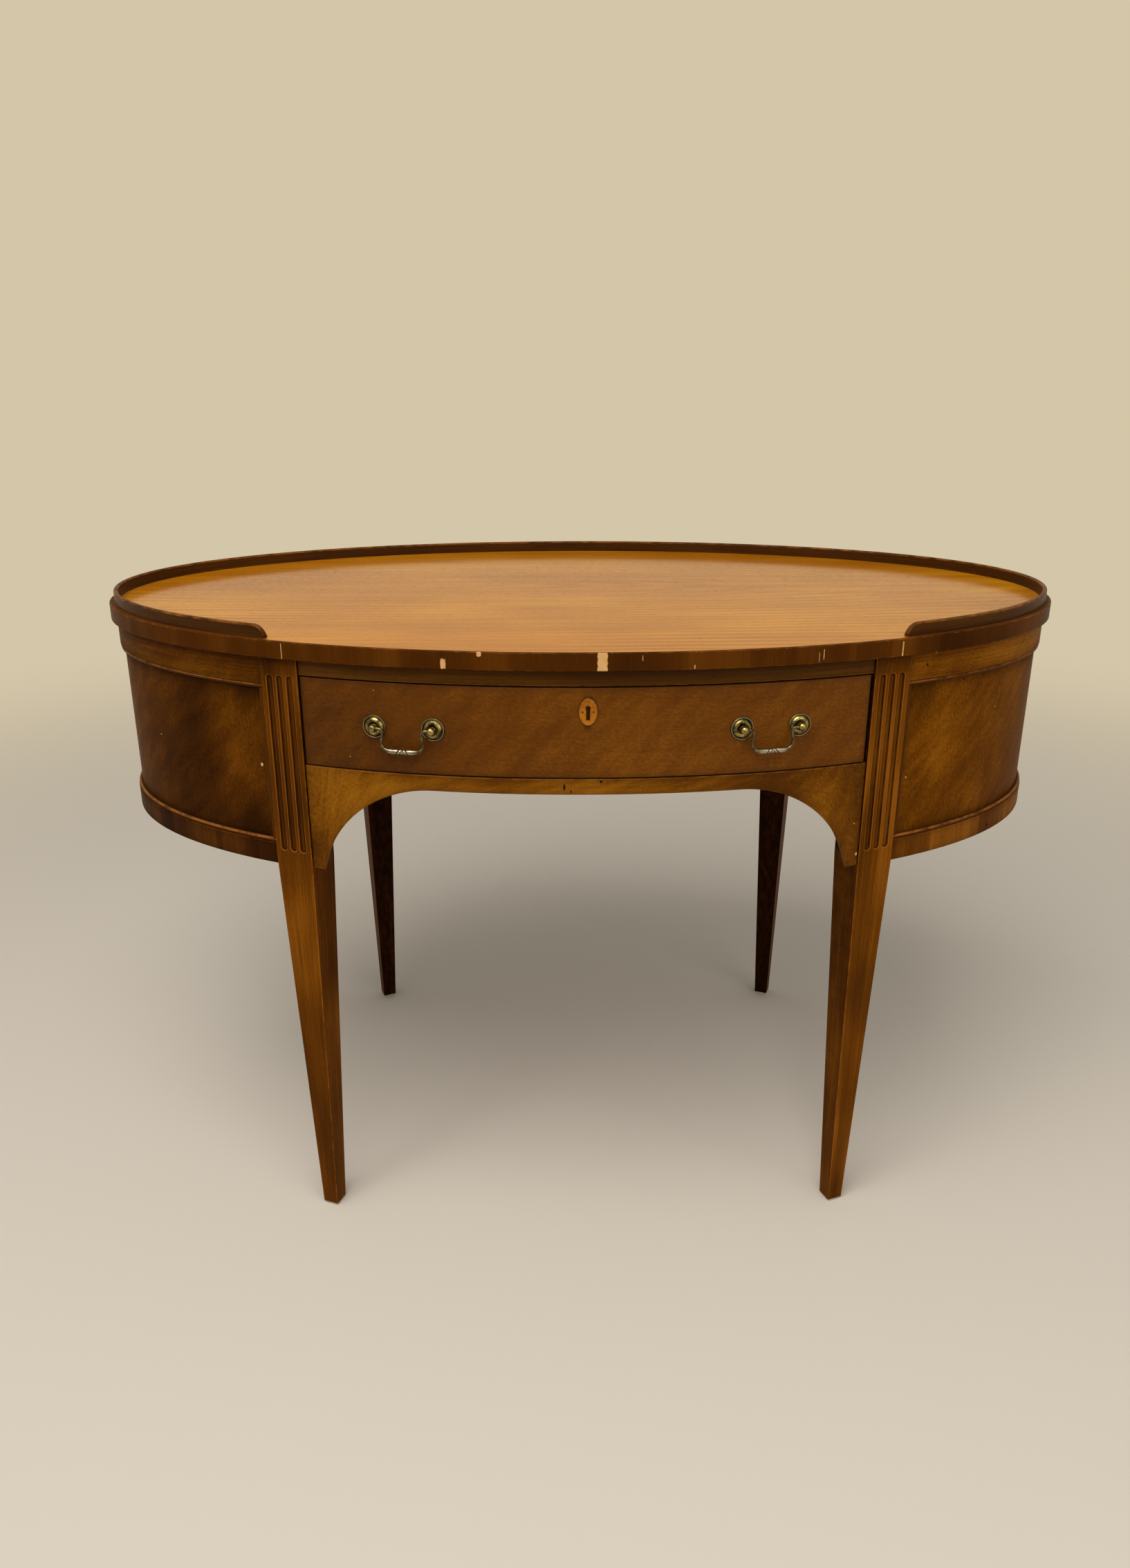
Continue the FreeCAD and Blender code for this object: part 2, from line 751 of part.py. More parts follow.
def make_drawer():
    """Drawer box with its front, lock, escutcheon and handles."""
    pieces = {}
    box_half = leg_corner_x - drawer_box_gap
    inside = oval(drawer_back_inset + glue_line, case_bottom, underside)
    inner_half = box_half - drawer_side_thickness
    side_board = box(inner_half, box_half, -top_depth / 2, drawer_back_y, side_bottom, side_top)
    side_board = side_board.common(inside)
    bottom_low = side_bottom + drawer_bottom_rise
    bottom_high = bottom_low + drawer_bottom_thickness
    bottom_half = inner_half + drawer_groove_depth
    reach = oval(drawer_back_inset - drawer_groove_depth, case_bottom, underside)
    bottom = box(-bottom_half, bottom_half, -top_depth / 2, drawer_back_y, bottom_low, bottom_high)
    bottom = bottom.common(reach)
    groove_half = bottom_half + glue_line
    groove = box(-groove_half, groove_half, -top_depth / 2, drawer_back_y + overcut,
                 bottom_low - glue_line, bottom_high + glue_line)
    groove = groove.common(oval(drawer_back_inset - drawer_groove_depth - glue_line, case_bottom, underside))
    back_half = inner_half - glue_line
    back_low = bottom_high + glue_line
    front_ring = oval_ring(front_inset, drawer_back_inset, drawer_bottom, drawer_top)
    front = between_legs(front_ring, "front", drawer_gap_side)
    face = -half_axes(front_inset)[1]
    lock_face = -half_axes(drawer_back_inset)[1] + lock_proud - lock_thickness
    recesses = [groove, lock_box(glue_line)]
    recesses += at_posts(post_seat(-overcut, post_seat_depth)) + at_posts(post_seat(nut_seat, post_end))
    front = front.cut(recesses).cut(escutcheon_plate(glue_line))
    holes = [keyhole(face - overcut, lock_face)] + escutcheon_pins(hole_clearance)
    holes += lock_screws(hole_clearance) + at_posts(post_bore(hole_clearance))
    key_cut = keyhole(face - overcut, face + overcut)
    plate = escutcheon_plate(0).cut([key_cut] + escutcheon_pins(hole_clearance))
    bolt_room = bolt_bar(slide_clearance)
    thrown = bolt_room.copy()
    thrown.translate(Vector(0, 0, bolt_throw))
    key_room = keyhole(lock_face - overcut, bolt_front - slide_clearance)
    case = lock_box(0).cut([bolt_room, thrown, key_room] + lock_screws(hole_clearance))
    nut = rod(nut_radius, Vector(0, nut_seat, 0), Vector(0, nut_seat + nut_thickness, 0))
    nut = nut.cut(post_bore(hole_clearance))
    pieces["drawer_front"] = front.cut(holes)
    for place, side in SIDES:
        pieces["drawer_side_" + place] = mirrored(side_board.cut(groove), side)
    pieces["drawer_back"] = box(-back_half, back_half, drawer_back_y - drawer_back_thickness, drawer_back_y,
                                back_low, back_low + drawer_back_height)
    pieces["drawer_bottom"] = bottom
    pieces["escutcheon"] = plate
    pieces["escutcheon_pins"] = Part.makeCompound(escutcheon_pins(0))
    pieces["lock_case"] = case
    pieces["lock_screws"] = Part.makeCompound(lock_screws(0))
    pieces["lock_bolt"] = bolt_bar(0)
    outside = oval(front_inset - glue_line, case_bottom, underside)
    pieces["handle_rosettes"] = Part.makeCompound([plate.cut(outside) for plate in at_posts(rosette())])
    pieces["handle_posts"] = Part.makeCompound(at_posts(ball_post()))
    pieces["handle_nuts"] = Part.makeCompound(at_posts(nut))
    for place, side in SIDES:
        pieces["bail_" + place] = at_handle(bail(), side)
    return pieces


def main():
    """Build every piece and write it to its own file."""
    os.makedirs("parts", exist_ok=True)
    pieces = {}
    for make in (make_top, make_legs, make_rails, make_ends, make_inner_boards, make_drawer):
        pieces.update(make())
    for name, shape in pieces.items():
        print(name, len(shape.Solids), round(shape.Volume), shape.isValid())
        shape.exportStep("parts/" + name + ".step")


main()
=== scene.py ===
"""Looks of an oval writing desk: its shaped meshes, finishes, light and camera.

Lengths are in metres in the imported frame: +X along the desk, -Y towards the sitter, +Z up.
"""
import functools
import logging
import math
from dataclasses import dataclass, replace
from enum import Enum
from typing import Callable, Optional, Sequence, Union

import bpy
import numpy as np
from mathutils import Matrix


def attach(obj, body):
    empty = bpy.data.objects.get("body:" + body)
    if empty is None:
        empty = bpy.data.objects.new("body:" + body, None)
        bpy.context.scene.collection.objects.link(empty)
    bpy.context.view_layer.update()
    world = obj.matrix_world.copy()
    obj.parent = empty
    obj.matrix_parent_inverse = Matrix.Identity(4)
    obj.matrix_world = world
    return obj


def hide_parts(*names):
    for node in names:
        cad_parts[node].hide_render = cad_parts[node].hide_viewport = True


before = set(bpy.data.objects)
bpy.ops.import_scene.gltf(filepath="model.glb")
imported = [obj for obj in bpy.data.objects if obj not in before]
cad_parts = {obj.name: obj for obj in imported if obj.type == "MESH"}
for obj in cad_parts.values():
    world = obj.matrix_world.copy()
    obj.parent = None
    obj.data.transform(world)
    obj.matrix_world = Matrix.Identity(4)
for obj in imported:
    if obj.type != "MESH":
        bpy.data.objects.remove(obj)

LOG = logging.getLogger("desk")
MM = 0.001
Array = np.ndarray
SIDES = (("left", -1), ("right", 1))
Colour = tuple[float, float, float, float]
Given = Union["Value", float, Sequence[float]]


def tone(red: float, green: float, blue: float) -> Colour:
    """A colour as written on a 0 to 255 screen scale, turned into the linear one that shaders use.

    Args:
        red: Red from 0 to 255.
        green: Green from 0 to 255.
        blue: Blue from 0 to 255.

    Returns:
        Linear red, green, blue and an alpha of one.
    """
    screen = np.array([red, green, blue]) / 255.0
    linear = np.where(screen <= 0.04045, screen / 12.92, ((screen + 0.055) / 1.055) ** 2.4)
    return float(linear[0]), float(linear[1]), float(linear[2]), 1.0


def smooth_step(values: Array, low: float, high: float) -> Array:
    """Rise from 0 at low to 1 at high along 3 s squared minus 2 s cubed."""
    share = np.clip((values - low) / (high - low), 0.0, 1.0)
    return share * share * (3.0 - 2.0 * share)


def circle(count: int) -> Array:
    """Even angles round a circle."""
    return np.linspace(0, 2 * np.pi, count, endpoint=False)


def running(steps: Array) -> Array:
    """Running total of steps, from zero."""
    return np.concatenate([[0.0], np.cumsum(steps)])


def ring_metres(total: float, sides: int) -> Array:
    """Even metres round a ring, with one more to close it."""
    return np.linspace(0, total, sides + 1)


def join(x: Array, y: Array, z: Array) -> Array:
    """Points from three arrays of coordinates."""
    return np.stack(np.broadcast_arrays(x, y, z), axis=-1)


# Shader expressions

class Value:
    """A shader value: wraps a socket, and its operators add Math nodes."""

    def __init__(self, shader: "Shader", socket: bpy.types.NodeSocket) -> None:
        """Keep the shader that the socket belongs to."""
        self.shader = shader
        self.socket = socket

    def _math(self, operation: str, first: Given, second: Given = 0.0) -> "Value":
        """One Math node on two values."""
        return self.shader.node("ShaderNodeMath", {"operation": operation}, {0: first, 1: second})

    def __add__(self, other: Given) -> "Value":
        """Sum."""
        return self._math("ADD", self, other)

    def __radd__(self, other: Given) -> "Value":
        """Sum, with the number first."""
        return self._math("ADD", other, self)

    def __sub__(self, other: Given) -> "Value":
        """Difference."""
        return self._math("SUBTRACT", self, other)

    def __rsub__(self, other: Given) -> "Value":
        """Difference, with the number first."""
        return self._math("SUBTRACT", other, self)

    def __mul__(self, other: Given) -> "Value":
        """Product."""
        return self._math("MULTIPLY", self, other)

    def __rmul__(self, other: Given) -> "Value":
        """Product, with the number first."""
        return self._math("MULTIPLY", other, self)

    def wave(self) -> "Value":
        """Even rise and fall between 0 and 1, once for each whole number."""
        return self._math("PINGPONG", self, 0.5) * 2.0

    def whole(self) -> "Value":
        """The whole number below the value."""
        return self._math("FLOOR", self)

    def most(self, other: Given) -> "Value":
        """The larger of two values."""
        return self._math("MAXIMUM", self, other)

    def between(self, low: float, high: float) -> "Value":
        """Smooth rise from 0 at low to 1 at high."""
        settings = {"interpolation_type": "SMOOTHSTEP"}
        return self.shader.node("ShaderNodeMapRange", settings, {0: self, 1: low, 2: high})


class Shader:
    """A material, or the surroundings, under construction."""

    def __init__(self, owner: Union[bpy.types.Material, bpy.types.World]) -> None:
        """Start with an empty node tree.

        Args:
            owner: The material or the world that the nodes belong to.
        """
        owner.use_nodes = True
        self.owner = owner
        self.tree = owner.node_tree
        self.tree.nodes.clear()

    @classmethod
    def named(cls, name: str) -> "Shader":
        """A new material's shader."""
        return cls(bpy.data.materials.new(name))

    def node(self, kind: str, settings: Optional[dict], sockets: Optional[dict],
             output: Union[int, str] = 0) -> Value:
        """Add any node.

        Args:
            kind: The node's type.
            settings: Its properties, set first; "stops" fills a colour ramp.
            sockets: Values or links of its sockets, by name or number.
            output: Which output to return.

        Returns:
            The chosen output.
        """
        made = self.tree.nodes.new(kind)
        for key, setting in (settings or {}).items():
            if key == "stops":
                self._set_stops(made.color_ramp, setting)
            else:
                setattr(made, key, setting)
        for key, given in (sockets or {}).items():
            if isinstance(given, Value):
                self.tree.links.new(given.socket, made.inputs[key])
            else:
                made.inputs[key].default_value = given
        return Value(self, made.outputs[output])

    @staticmethod
    def _set_stops(ramp: bpy.types.ColorRamp, stops: Sequence[tuple[float, Colour]]) -> None:
        """Give a colour ramp its stops.

        Args:
            ramp: The colour ramp.
            stops: Position and colour of each stop.
        """
        while len(ramp.elements) < len(stops):
            ramp.elements.new(1.0)
        for element, (position, colour) in zip(ramp.elements, stops):
            element.position = position
            element.color = colour

    def vector(self, x: Given, y: Given, z: Given) -> Value:
        """A vector from three values."""
        return self.node("ShaderNodeCombineXYZ", None, {0: x, 1: y, 2: z})

    def noise(self, place: Value, detail: float, roughness: float = 0.5, scale: float = 1.0) -> Value:
        """Soft noise about one half."""
        return self.node("ShaderNodeTexNoise", None,
                         {"Vector": place, "Scale": scale, "Detail": detail, "Roughness": roughness})

    def attribute(self, name: str) -> Value:
        """A number stored on the mesh."""
        return self.node("ShaderNodeAttribute", {"attribute_name": name}, None, 2)

    def mix(self, share: Given, first: Given, second: Given) -> Value:
        """A colour between two."""
        return self.node("ShaderNodeMix", {"data_type": "RGBA"}, {0: share, 6: first, 7: second}, 2)

    def ramp(self, share: Value, stops: Sequence[tuple[float, Colour]]) -> Value:
        """A colour read off a row of stops."""
        return self.node("ShaderNodeValToRGB", {"stops": stops}, {0: share})

    def coordinates(self, output: str = "Object") -> Value:
        """A place on the surface, in the desk's own metres unless another output is named."""
        return self.node("ShaderNodeTexCoord", None, None, output)

    def axes(self, output: str) -> tuple[Value, Value, Value]:
        """The three numbers of a place on the surface.

        Args:
            output: The coordinate node's output.

        Returns:
            Three values, one for each axis.
        """
        here = self.coordinates(output)
        split = [self.node("ShaderNodeSeparateXYZ", None, {0: here}, axis) for axis in range(3)]
        return split[0], split[1], split[2]

    def vector_math(self, operation: str, first: Given, second: Given) -> Value:
        """One Vector Math node on two vectors."""
        return self.node("ShaderNodeVectorMath", {"operation": operation}, {0: first, 1: second})

    def length(self, vector: Value) -> Value:
        """The length of a vector."""
        return self.node("ShaderNodeVectorMath", {"operation": "LENGTH"}, {0: vector}, "Value")

    def seen_by(self, *rays: str) -> Value:
        """1 on a light path of any of these kinds, such as Camera or Glossy, and 0 elsewhere."""
        kinds = [self.node("ShaderNodeLightPath", None, None, f"Is {ray} Ray") for ray in rays]
        return functools.reduce(Value.most, kinds)

    def bump(self, height: Value, strength: float, distance: float) -> Value:
        """A normal that follows a height."""
        sockets = {"Strength": strength, "Distance": distance, "Height": height}
        return self.node("ShaderNodeBump", None, sockets)

    def finish(self, sockets: dict) -> bpy.types.Material:
        """Close the tree with a Principled BSDF.

        Args:
            sockets: Values or links of the BSDF's sockets.

        Returns:
            The finished material.
        """
        return self.close(self.node("ShaderNodeBsdfPrincipled", None, sockets))

    def close(self, surface: Value, kind: str = "ShaderNodeOutputMaterial") -> bpy.types.ID:
        """Join the surface to the tree's output and return what it belongs to.

        Args:
            surface: The surface or the background.
            kind: The output node's type.

        Returns:
            The material or the world that the nodes belong to.
        """
        end = self.tree.nodes.new(kind)
        self.tree.links.new(surface.socket, end.inputs["Surface"])
        return self.owner


# Finishes

class Grain(Enum):
    """Which way the wood's fibres run: along a mesh's own U or V, or an axis of the desk."""

    ALONG_U = ("UV", 0, 1, 2)
    ALONG_V = ("UV", 1, 0, 2)
    ALONG_X = ("Object", 0, 1, 2)
    ALONG_Y = ("Object", 1, 0, 2)

    def axes(self, shader: Shader) -> tuple[Value, Value, Value]:
        """Coordinates along, across and through the grain, in metres.

        Args:
            shader: The shader that they are for.

        Returns:
            The three coordinates, in that order.
        """
        output, along, across, through = self.value
        split = shader.axes(output)
        return split[along], split[across], split[through]


class Figure(Enum):
    """The pattern in a sheet of veneer."""

    STRAIGHT = "straight"
    CATHEDRAL = "cathedral"
    MOTTLE = "mottle"
    CROSSBAND = "crossband"


# How spots fray and fade, where the ramp's colours sit, the spans over which pores, wear and chips
# come in, and how far fibres and specks stand up
SPOT_FRAY = 1.6
STAIN_CORE = 0.1
SCAR_CORE = 0.5
RAMP_STOPS = (0.25, 0.5, 0.75)
PORE_SPAN = (0.58, 0.72)
WEAR_SPAN = (0.55, 1.05)
CHIP_SPAN = (0.3, 0.7)
FIBRE_RELIEF = 0.12
FIBRE_HEIGHT = 0.5 * MM
SPECK_HEIGHT = 0.3 * MM


@dataclass(frozen=True)
class Spot:
    """A soft patch or a small scar in the polish, in millimetres, lighter where its change is above zero."""

    x: float
    y: float
    z: float
    radius: float
    change: float = 1.0
    tall: float = 1.0

    def share(self, shader: Shader, ragged: Value, core: float) -> Value:
        """1 within core times the radius, falling to 0 at the radius, with a ragged edge.

        Args:
            shader: The shader that it is for.
            ragged: Noise about one half that frays the edge.
            core: Share of the radius that is fully covered.

        Returns:
            The spot's share; its distance counts height less by the spot's tallness.
        """
        middle = (self.x * MM, self.y * MM, self.z * MM)
        from_middle = shader.vector_math("SUBTRACT", shader.coordinates(), middle)
        flattened = shader.vector_math("MULTIPLY", from_middle, (1.0, 1.0, 1.0 / self.tall))
        reach = self.radius * MM
        return (shader.length(flattened) + (ragged - 0.5) * reach * SPOT_FRAY).between(reach, core * reach)


@dataclass(frozen=True)
class Stretched:
    """Noise drawn out along the grain: cells for each metre along and across it, detail and roughness."""

    along: float
    across: float
    detail: float
    roughness: float

    def value(self, shader: Shader, along: Value, across: Value, through: Value) -> Value:
        """The noise, about one half, at a place in the wood."""
        cell = shader.vector(along * self.along, across * self.across, through * self.across)
        return shader.noise(cell, self.detail, self.roughness)


FIBRE = Stretched(9.0, 480.0, 3.0, 0.6)
STREAK = Stretched(1.7, 44.0, 3.0, 0.55)
CLOUD = Stretched(4.0, 7.0, 2.0, 0.5)
DASH = Stretched(110.0, 950.0, 1.0, 0.5)
RUB = Stretched(60.0, 90.0, 3.0, 0.6)
BROAD_STRIPE = Stretched(0.8, 16.0, 2.0, 0.5)


@dataclass(frozen=True)
class Wood:
    """A polished or plain wood finish.

    Shares say how much each layer of the pattern counts. Segment is the usual width of a crossband's
    strips and shift moves the pattern along the grain, both in metres.
    """

    name: str
    slot: str
    dark: Colour
    middle: Colour
    light: Colour
    grain: Grain
    figure: Figure = Figure.STRAIGHT
    figure_share: float = 0.4
    fibre_share: float = 0.5
    streak_share: float = 0.6
    cloud_share: float = 0.5
    pore_share: float = 0.45
    roughness: float = 0.32
    specular: float = 0.05
    wear: float = 0.6
    worn: Colour = tone(146, 88, 30)
    grime: float = 0.8
    soot_and_shade: Colour = tone(26, 12, 4)
    bare: Colour = tone(222, 178, 116)
    segment: float = 0.06
    shift: float = 0.0
    stains: tuple[Spot, ...] = ()
    scars: tuple[Spot, ...] = ()

    def material(self) -> bpy.types.Material:
        """Wood colour: fibres, streaks, clouds and figure added about one half and read off a ramp,
        darkened by pores, then worn arrises, dirt and painted shade, scars and bare chips laid over it.

        Returns:
            The finished material.
        """
        shader = Shader.named(self.name)
        along, across, through = self.grain.axes(shader)
        along = along + self.shift
        layers = (FIBRE, STREAK, CLOUD, DASH, RUB)
        fibre, streak, cloud, dash, rub = [layer.value(shader, along, across, through) for layer in layers]
        pore = dash.between(*PORE_SPAN)
        figure = self._figure(shader, along, across, through)
        level = 0.5 + (fibre - 0.5) * self.fibre_share + (streak - 0.5) * self.streak_share
        level = level + (cloud - 0.5) * self.cloud_share + (figure - 0.5) * self.figure_share
        for stain in self.stains:
            level = level + stain.share(shader, cloud, STAIN_CORE) * stain.change
        colour = shader.ramp(level, list(zip(RAMP_STOPS, (self.dark, self.middle, self.light))))
        colour = shader.mix(pore * self.pore_share, colour, self.soot_and_shade)
        worn = (shader.attribute("wear") * (rub * 1.4 + cloud * 0.8 - 0.3)).between(*WEAR_SPAN) * self.wear
        colour = shader.mix(worn, colour, self.worn)
        # The stored mark holds dirt, and painted shade in gaps, hollows and faces out of the light; soot is
        # their colour.
        dirt_and_shade = shader.attribute("grime") * (rub * 0.8 + 0.5) * self.grime
        colour = shader.mix(dirt_and_shade, colour, self.soot_and_shade)
        for scar in self.scars:
            mark = self.bare if scar.change > 0 else self.soot_and_shade
            colour = shader.mix(scar.share(shader, rub, SCAR_CORE), colour, mark)
        chip = shader.attribute("chip").between(*CHIP_SPAN)
        colour = shader.mix(chip, colour, shader.mix(rub * 0.5, self.bare, self.worn))
        rough = self.roughness + (cloud - 0.5) * 0.12 + pore * 0.1 + chip * 0.3 + dirt_and_shade * 0.4
        normal = shader.bump(fibre * 0.5 - pore * 0.8, FIBRE_RELIEF, FIBRE_HEIGHT)
        return shader.finish({"Base Color": colour, "Roughness": rough, "Normal": normal,
                              "Specular IOR Level": self.specular})

    def _figure(self, shader: Shader, along: Value, across: Value, through: Value) -> Value:
        """The veneer's figure as a value about one half.

        Args:
            shader: The shader that it is for.
            along: Metres along the grain.
            across: Metres across the grain.
            through: Metres through the board.

        Returns:
            The figure's value.
        """
        if self.figure is Figure.CATHEDRAL:
            bend = shader.noise(shader.vector(along * 2.2, across * 5.0, through), 3.0, 0.55)
            arch = shader.length(shader.vector(along * 1.6 + 0.25, across * 9.0 - 0.3, 0.0))
            rings = (arch * 7.0 + bend * 1.8).wave()
            blur = shader.noise(shader.vector(along * 3.0, across * 9.0, through), 2.0)
            return 0.5 + (0.5 - rings) * blur.between(0.35, 0.7)
        if self.figure is Figure.MOTTLE:
            fleck = shader.vector(along * 210.0, across * 330.0 + along * 80.0, through * 210.0)
            slant = shader.vector(along * 14.0 + across * 14.0, across * 42.0 - along * 42.0, through)
            return shader.noise(fleck, 4.0, 0.7) * 0.6 + shader.noise(slant, 2.0) * 0.4
        if self.figure is Figure.CROSSBAND:
            wander = shader.noise(shader.vector(across * 5.0, 0.0, 0.0), 1.0)
            cell = (across * (1.0 / self.segment) + wander * 2.0).whole()
            return shader.node("ShaderNodeTexWhiteNoise", {"noise_dimensions": "1D"}, {"W": cell})
        return BROAD_STRIPE.value(shader, along, across, through)


@dataclass(frozen=True)
class Brass:
    """Old brass with dark patina in its hollows and bright wear where hands hold it."""

    name: str
    slot: str = "aged_brass"
    bright: Colour = tone(150, 132, 78)
    olive: Colour = tone(96, 84, 50)
    patina: Colour = tone(30, 24, 13)
    worn: Colour = tone(160, 152, 134)
    shine: float = 0.22
    spot_scale: float = 700.0
    broad_scale: float = 130.0

    def material(self) -> bpy.types.Material:
        """Metal colour: two noises pick bright, olive or dark patina; dirt and wear lie over it.

        Returns:
            The finished material.
        """
        shader = Shader.named(self.name)
        here = shader.coordinates()
        spot = shader.noise(here, 4.0, 0.65, self.spot_scale)
        broad = shader.noise(here, 2.0, 0.5, self.broad_scale)
        age = (spot * 0.4 + broad * 0.65).between(0.42, 0.74)
        colour = shader.ramp(age, [(0.0, self.bright), (0.5, self.olive), (1.0, self.patina)])
        dirt_and_shade = shader.attribute("grime") * (spot * 0.7 + 0.55)
        colour = shader.mix(dirt_and_shade, colour, self.patina)
        worn = (shader.attribute("wear") * (broad * 1.2 + 0.3)).between(0.35, 0.9)
        colour = shader.mix(worn, colour, self.worn)
        rough = self.shine + age * 0.2 + dirt_and_shade * 0.25
        normal = shader.bump(spot, 0.1, SPECK_HEIGHT)
        return shader.finish({"Base Color": colour, "Roughness": rough, "Metallic": 1.0 - dirt_and_shade * 0.5,
                              "Normal": normal})


@dataclass(frozen=True)
class Plain:
    """A plain finish with speckle: steel, boxwood or a foot pad."""

    name: str
    slot: str
    dark: Colour
    light: Colour
    metallic: float = 0.0
    roughness: float = 0.5
    scale: float = 300.0
    grime: float = 0.8
    specular: float = 0.15
    soot_and_shade: Colour = tone(30, 15, 6)

    def material(self) -> bpy.types.Material:
        """Two colours mixed by noise, with dirt and painted shade over them.

        Returns:
            The finished material.
        """
        shader = Shader.named(self.name)
        here = shader.coordinates()
        speck = shader.noise(here, 4.0, 0.65, self.scale)
        broad = shader.noise(here, 2.0, 0.5, self.scale * 0.2)
        colour = shader.mix((speck * 0.6 + broad * 0.6).between(0.35, 0.85), self.light, self.dark)
        dirt_and_shade = shader.attribute("grime") * (speck * 0.7 + 0.5) * self.grime
        colour = shader.mix(dirt_and_shade, colour, self.soot_and_shade)
        rough = self.roughness + (speck - 0.5) * 0.2
        normal = shader.bump(speck, 0.08, SPECK_HEIGHT)
        return shader.finish({"Base Color": colour, "Roughness": rough, "Metallic": self.metallic,
                              "Specular IOR Level": self.specular, "Normal": normal})


Finish = Union[Wood, Brass, Plain]

# Pale golden tones, partly the wood's own and partly a painted reflection of warm surroundings.
POLISHED_TOP = Wood(
    "polished top", "mahogany_top", tone(150, 85, 6), tone(182, 112, 10), tone(208, 143, 22), Grain.ALONG_X,
    Figure.CATHEDRAL, figure_share=0.2, fibre_share=0.42, streak_share=0.3, cloud_share=0.5, pore_share=0.3,
    roughness=0.11, specular=0.11, grime=1.6, soot_and_shade=tone(84, 44, 4))
EDGE_BAND = Wood(
    "crossbanded edge", "mahogany_edge", tone(48, 22, 3), tone(73, 37, 4), tone(100, 56, 10), Grain.ALONG_V,
    Figure.CROSSBAND, figure_share=0.11, fibre_share=0.22, streak_share=0.25, cloud_share=0.9,
    pore_share=0.2, roughness=0.36, specular=0.02, segment=0.062)
GALLERY = Wood(
    "gallery rail", "mahogany_edge", tone(46, 23, 5), tone(70, 39, 9), tone(98, 58, 16), Grain.ALONG_U,
    Figure.CROSSBAND, figure_share=0.15, cloud_share=0.3, roughness=0.36, segment=0.11, shift=3.0)
DRAWER_VENEER = Wood(
    "drawer veneer", "mahogany_case", tone(70, 36, 2), tone(98, 54, 3), tone(126, 75, 9), Grain.ALONG_U,
    Figure.MOTTLE, figure_share=0.85, fibre_share=0.15, streak_share=0.1, cloud_share=0.4, pore_share=0.2,
    roughness=0.36, specular=0.1, wear=0.3,
    stains=(Spot(-300, -300, 660, 190, -0.13), Spot(235, -317, 690, 150, 0.06),
            Spot(40, -345, 650, 120, 0.04)),
    scars=(Spot(-229.8, -318.4, 711.4, 0.6), Spot(-261, -310.3, 633.7, 0.7)))
APRON_VENEER = Wood(
    "apron veneer", "mahogany_case", tone(78, 42, 2), tone(110, 64, 4), tone(144, 91, 14), Grain.ALONG_U,
    Figure.MOTTLE, figure_share=1.1, fibre_share=0.2, streak_share=0.2, cloud_share=0.8, pore_share=0.35,
    roughness=0.36, wear=0.8, shift=2.0,
    stains=(Spot(-262, -310, 575, 42, 0.08), Spot(262, -310, 575, 42, 0.18), Spot(-312, -294, 520, 45, -0.2),
            Spot(200, -325, 606, 60, -0.15), Spot(0, -345, 606, 90, 0.12), Spot(312, -294, 610, 50, -0.12)),
    scars=(Spot(-25.3, -344.7, 608.6, 1.5, -1, 3.0), Spot(14.5, -344.9, 615, 2.2, -1),
           Spot(-18, -344.8, 604, 1.0, -1, 2.5), Spot(313.1, -293.7, 506.6, 1.7, 1, 1.5),
           Spot(307.1, -295.8, 545.2, 0.7), Spot(307.1, -295.8, 570.9, 1.2, -1)))
RAIL_WOOD = Wood(
    "top rail", "mahogany_case", tone(54, 30, 4), tone(78, 46, 6), tone(106, 66, 14), Grain.ALONG_U,
    roughness=0.38, wear=0.9, shift=5.0)
BACK_VENEER = Wood(
    "back veneer", "mahogany_case", tone(70, 38, 4), tone(92, 52, 7), tone(114, 68, 13), Grain.ALONG_U,
    Figure.MOTTLE, figure_share=0.4, streak_share=0.25, cloud_share=0.8, roughness=0.4, wear=0.5, shift=8.0)
# Its strong grime blackens the inner faces beside the drawer as painted shade in the gap.
LEG_WOOD = Wood(
    "leg", "mahogany_case", tone(70, 36, 3), tone(103, 57, 4), tone(142, 84, 16), Grain.ALONG_U,
    streak_share=0.5, cloud_share=1.3, pore_share=0.3, roughness=0.4, specular=0.02, wear=0.9,
    worn=tone(148, 84, 22), grime=1.15)
# Darker than the front legs: partly the wood's own, partly painted shade; its near-black soot is painted
# shade.
REAR_LEG_WOOD = Wood(
    "rear leg", "mahogany_case", tone(58, 29, 3), tone(86, 46, 4), tone(118, 68, 13), Grain.ALONG_U,
    streak_share=0.5, cloud_share=1.0, pore_share=0.3, roughness=0.42, specular=0.02, wear=0.5, grime=1.3,
    soot_and_shade=tone(25, 9, 1))
# Darker than the right end's veneer: partly a different sheet, partly painted shade on the left end.
PANEL_LEFT = Wood(
    "left end veneer", "mahogany_case", tone(48, 23, 2), tone(76, 40, 3), tone(112, 64, 8), Grain.ALONG_V,
    Figure.MOTTLE, figure_share=0.9, fibre_share=0.15, streak_share=0.1, cloud_share=0.5, pore_share=0.3,
    roughness=0.42, specular=0.015, shift=1.0,
    stains=(Spot(-405, -250, 648, 62, 0.13), Spot(-396, -255, 590, 52, 0.08),
            Spot(-377, -265, 528, 62, -0.28), Spot(-472, -209, 590, 80, -0.15, 2.0),
            Spot(-372, -267, 705, 40, -0.2), Spot(-592, -30, 620, 130, 0.2, 2.0)),
    scars=(Spot(-369.8, -268.7, 610.4, 2.2, 1, 1.3), Spot(-514.3, -172.5, 617.2, 1.0)))
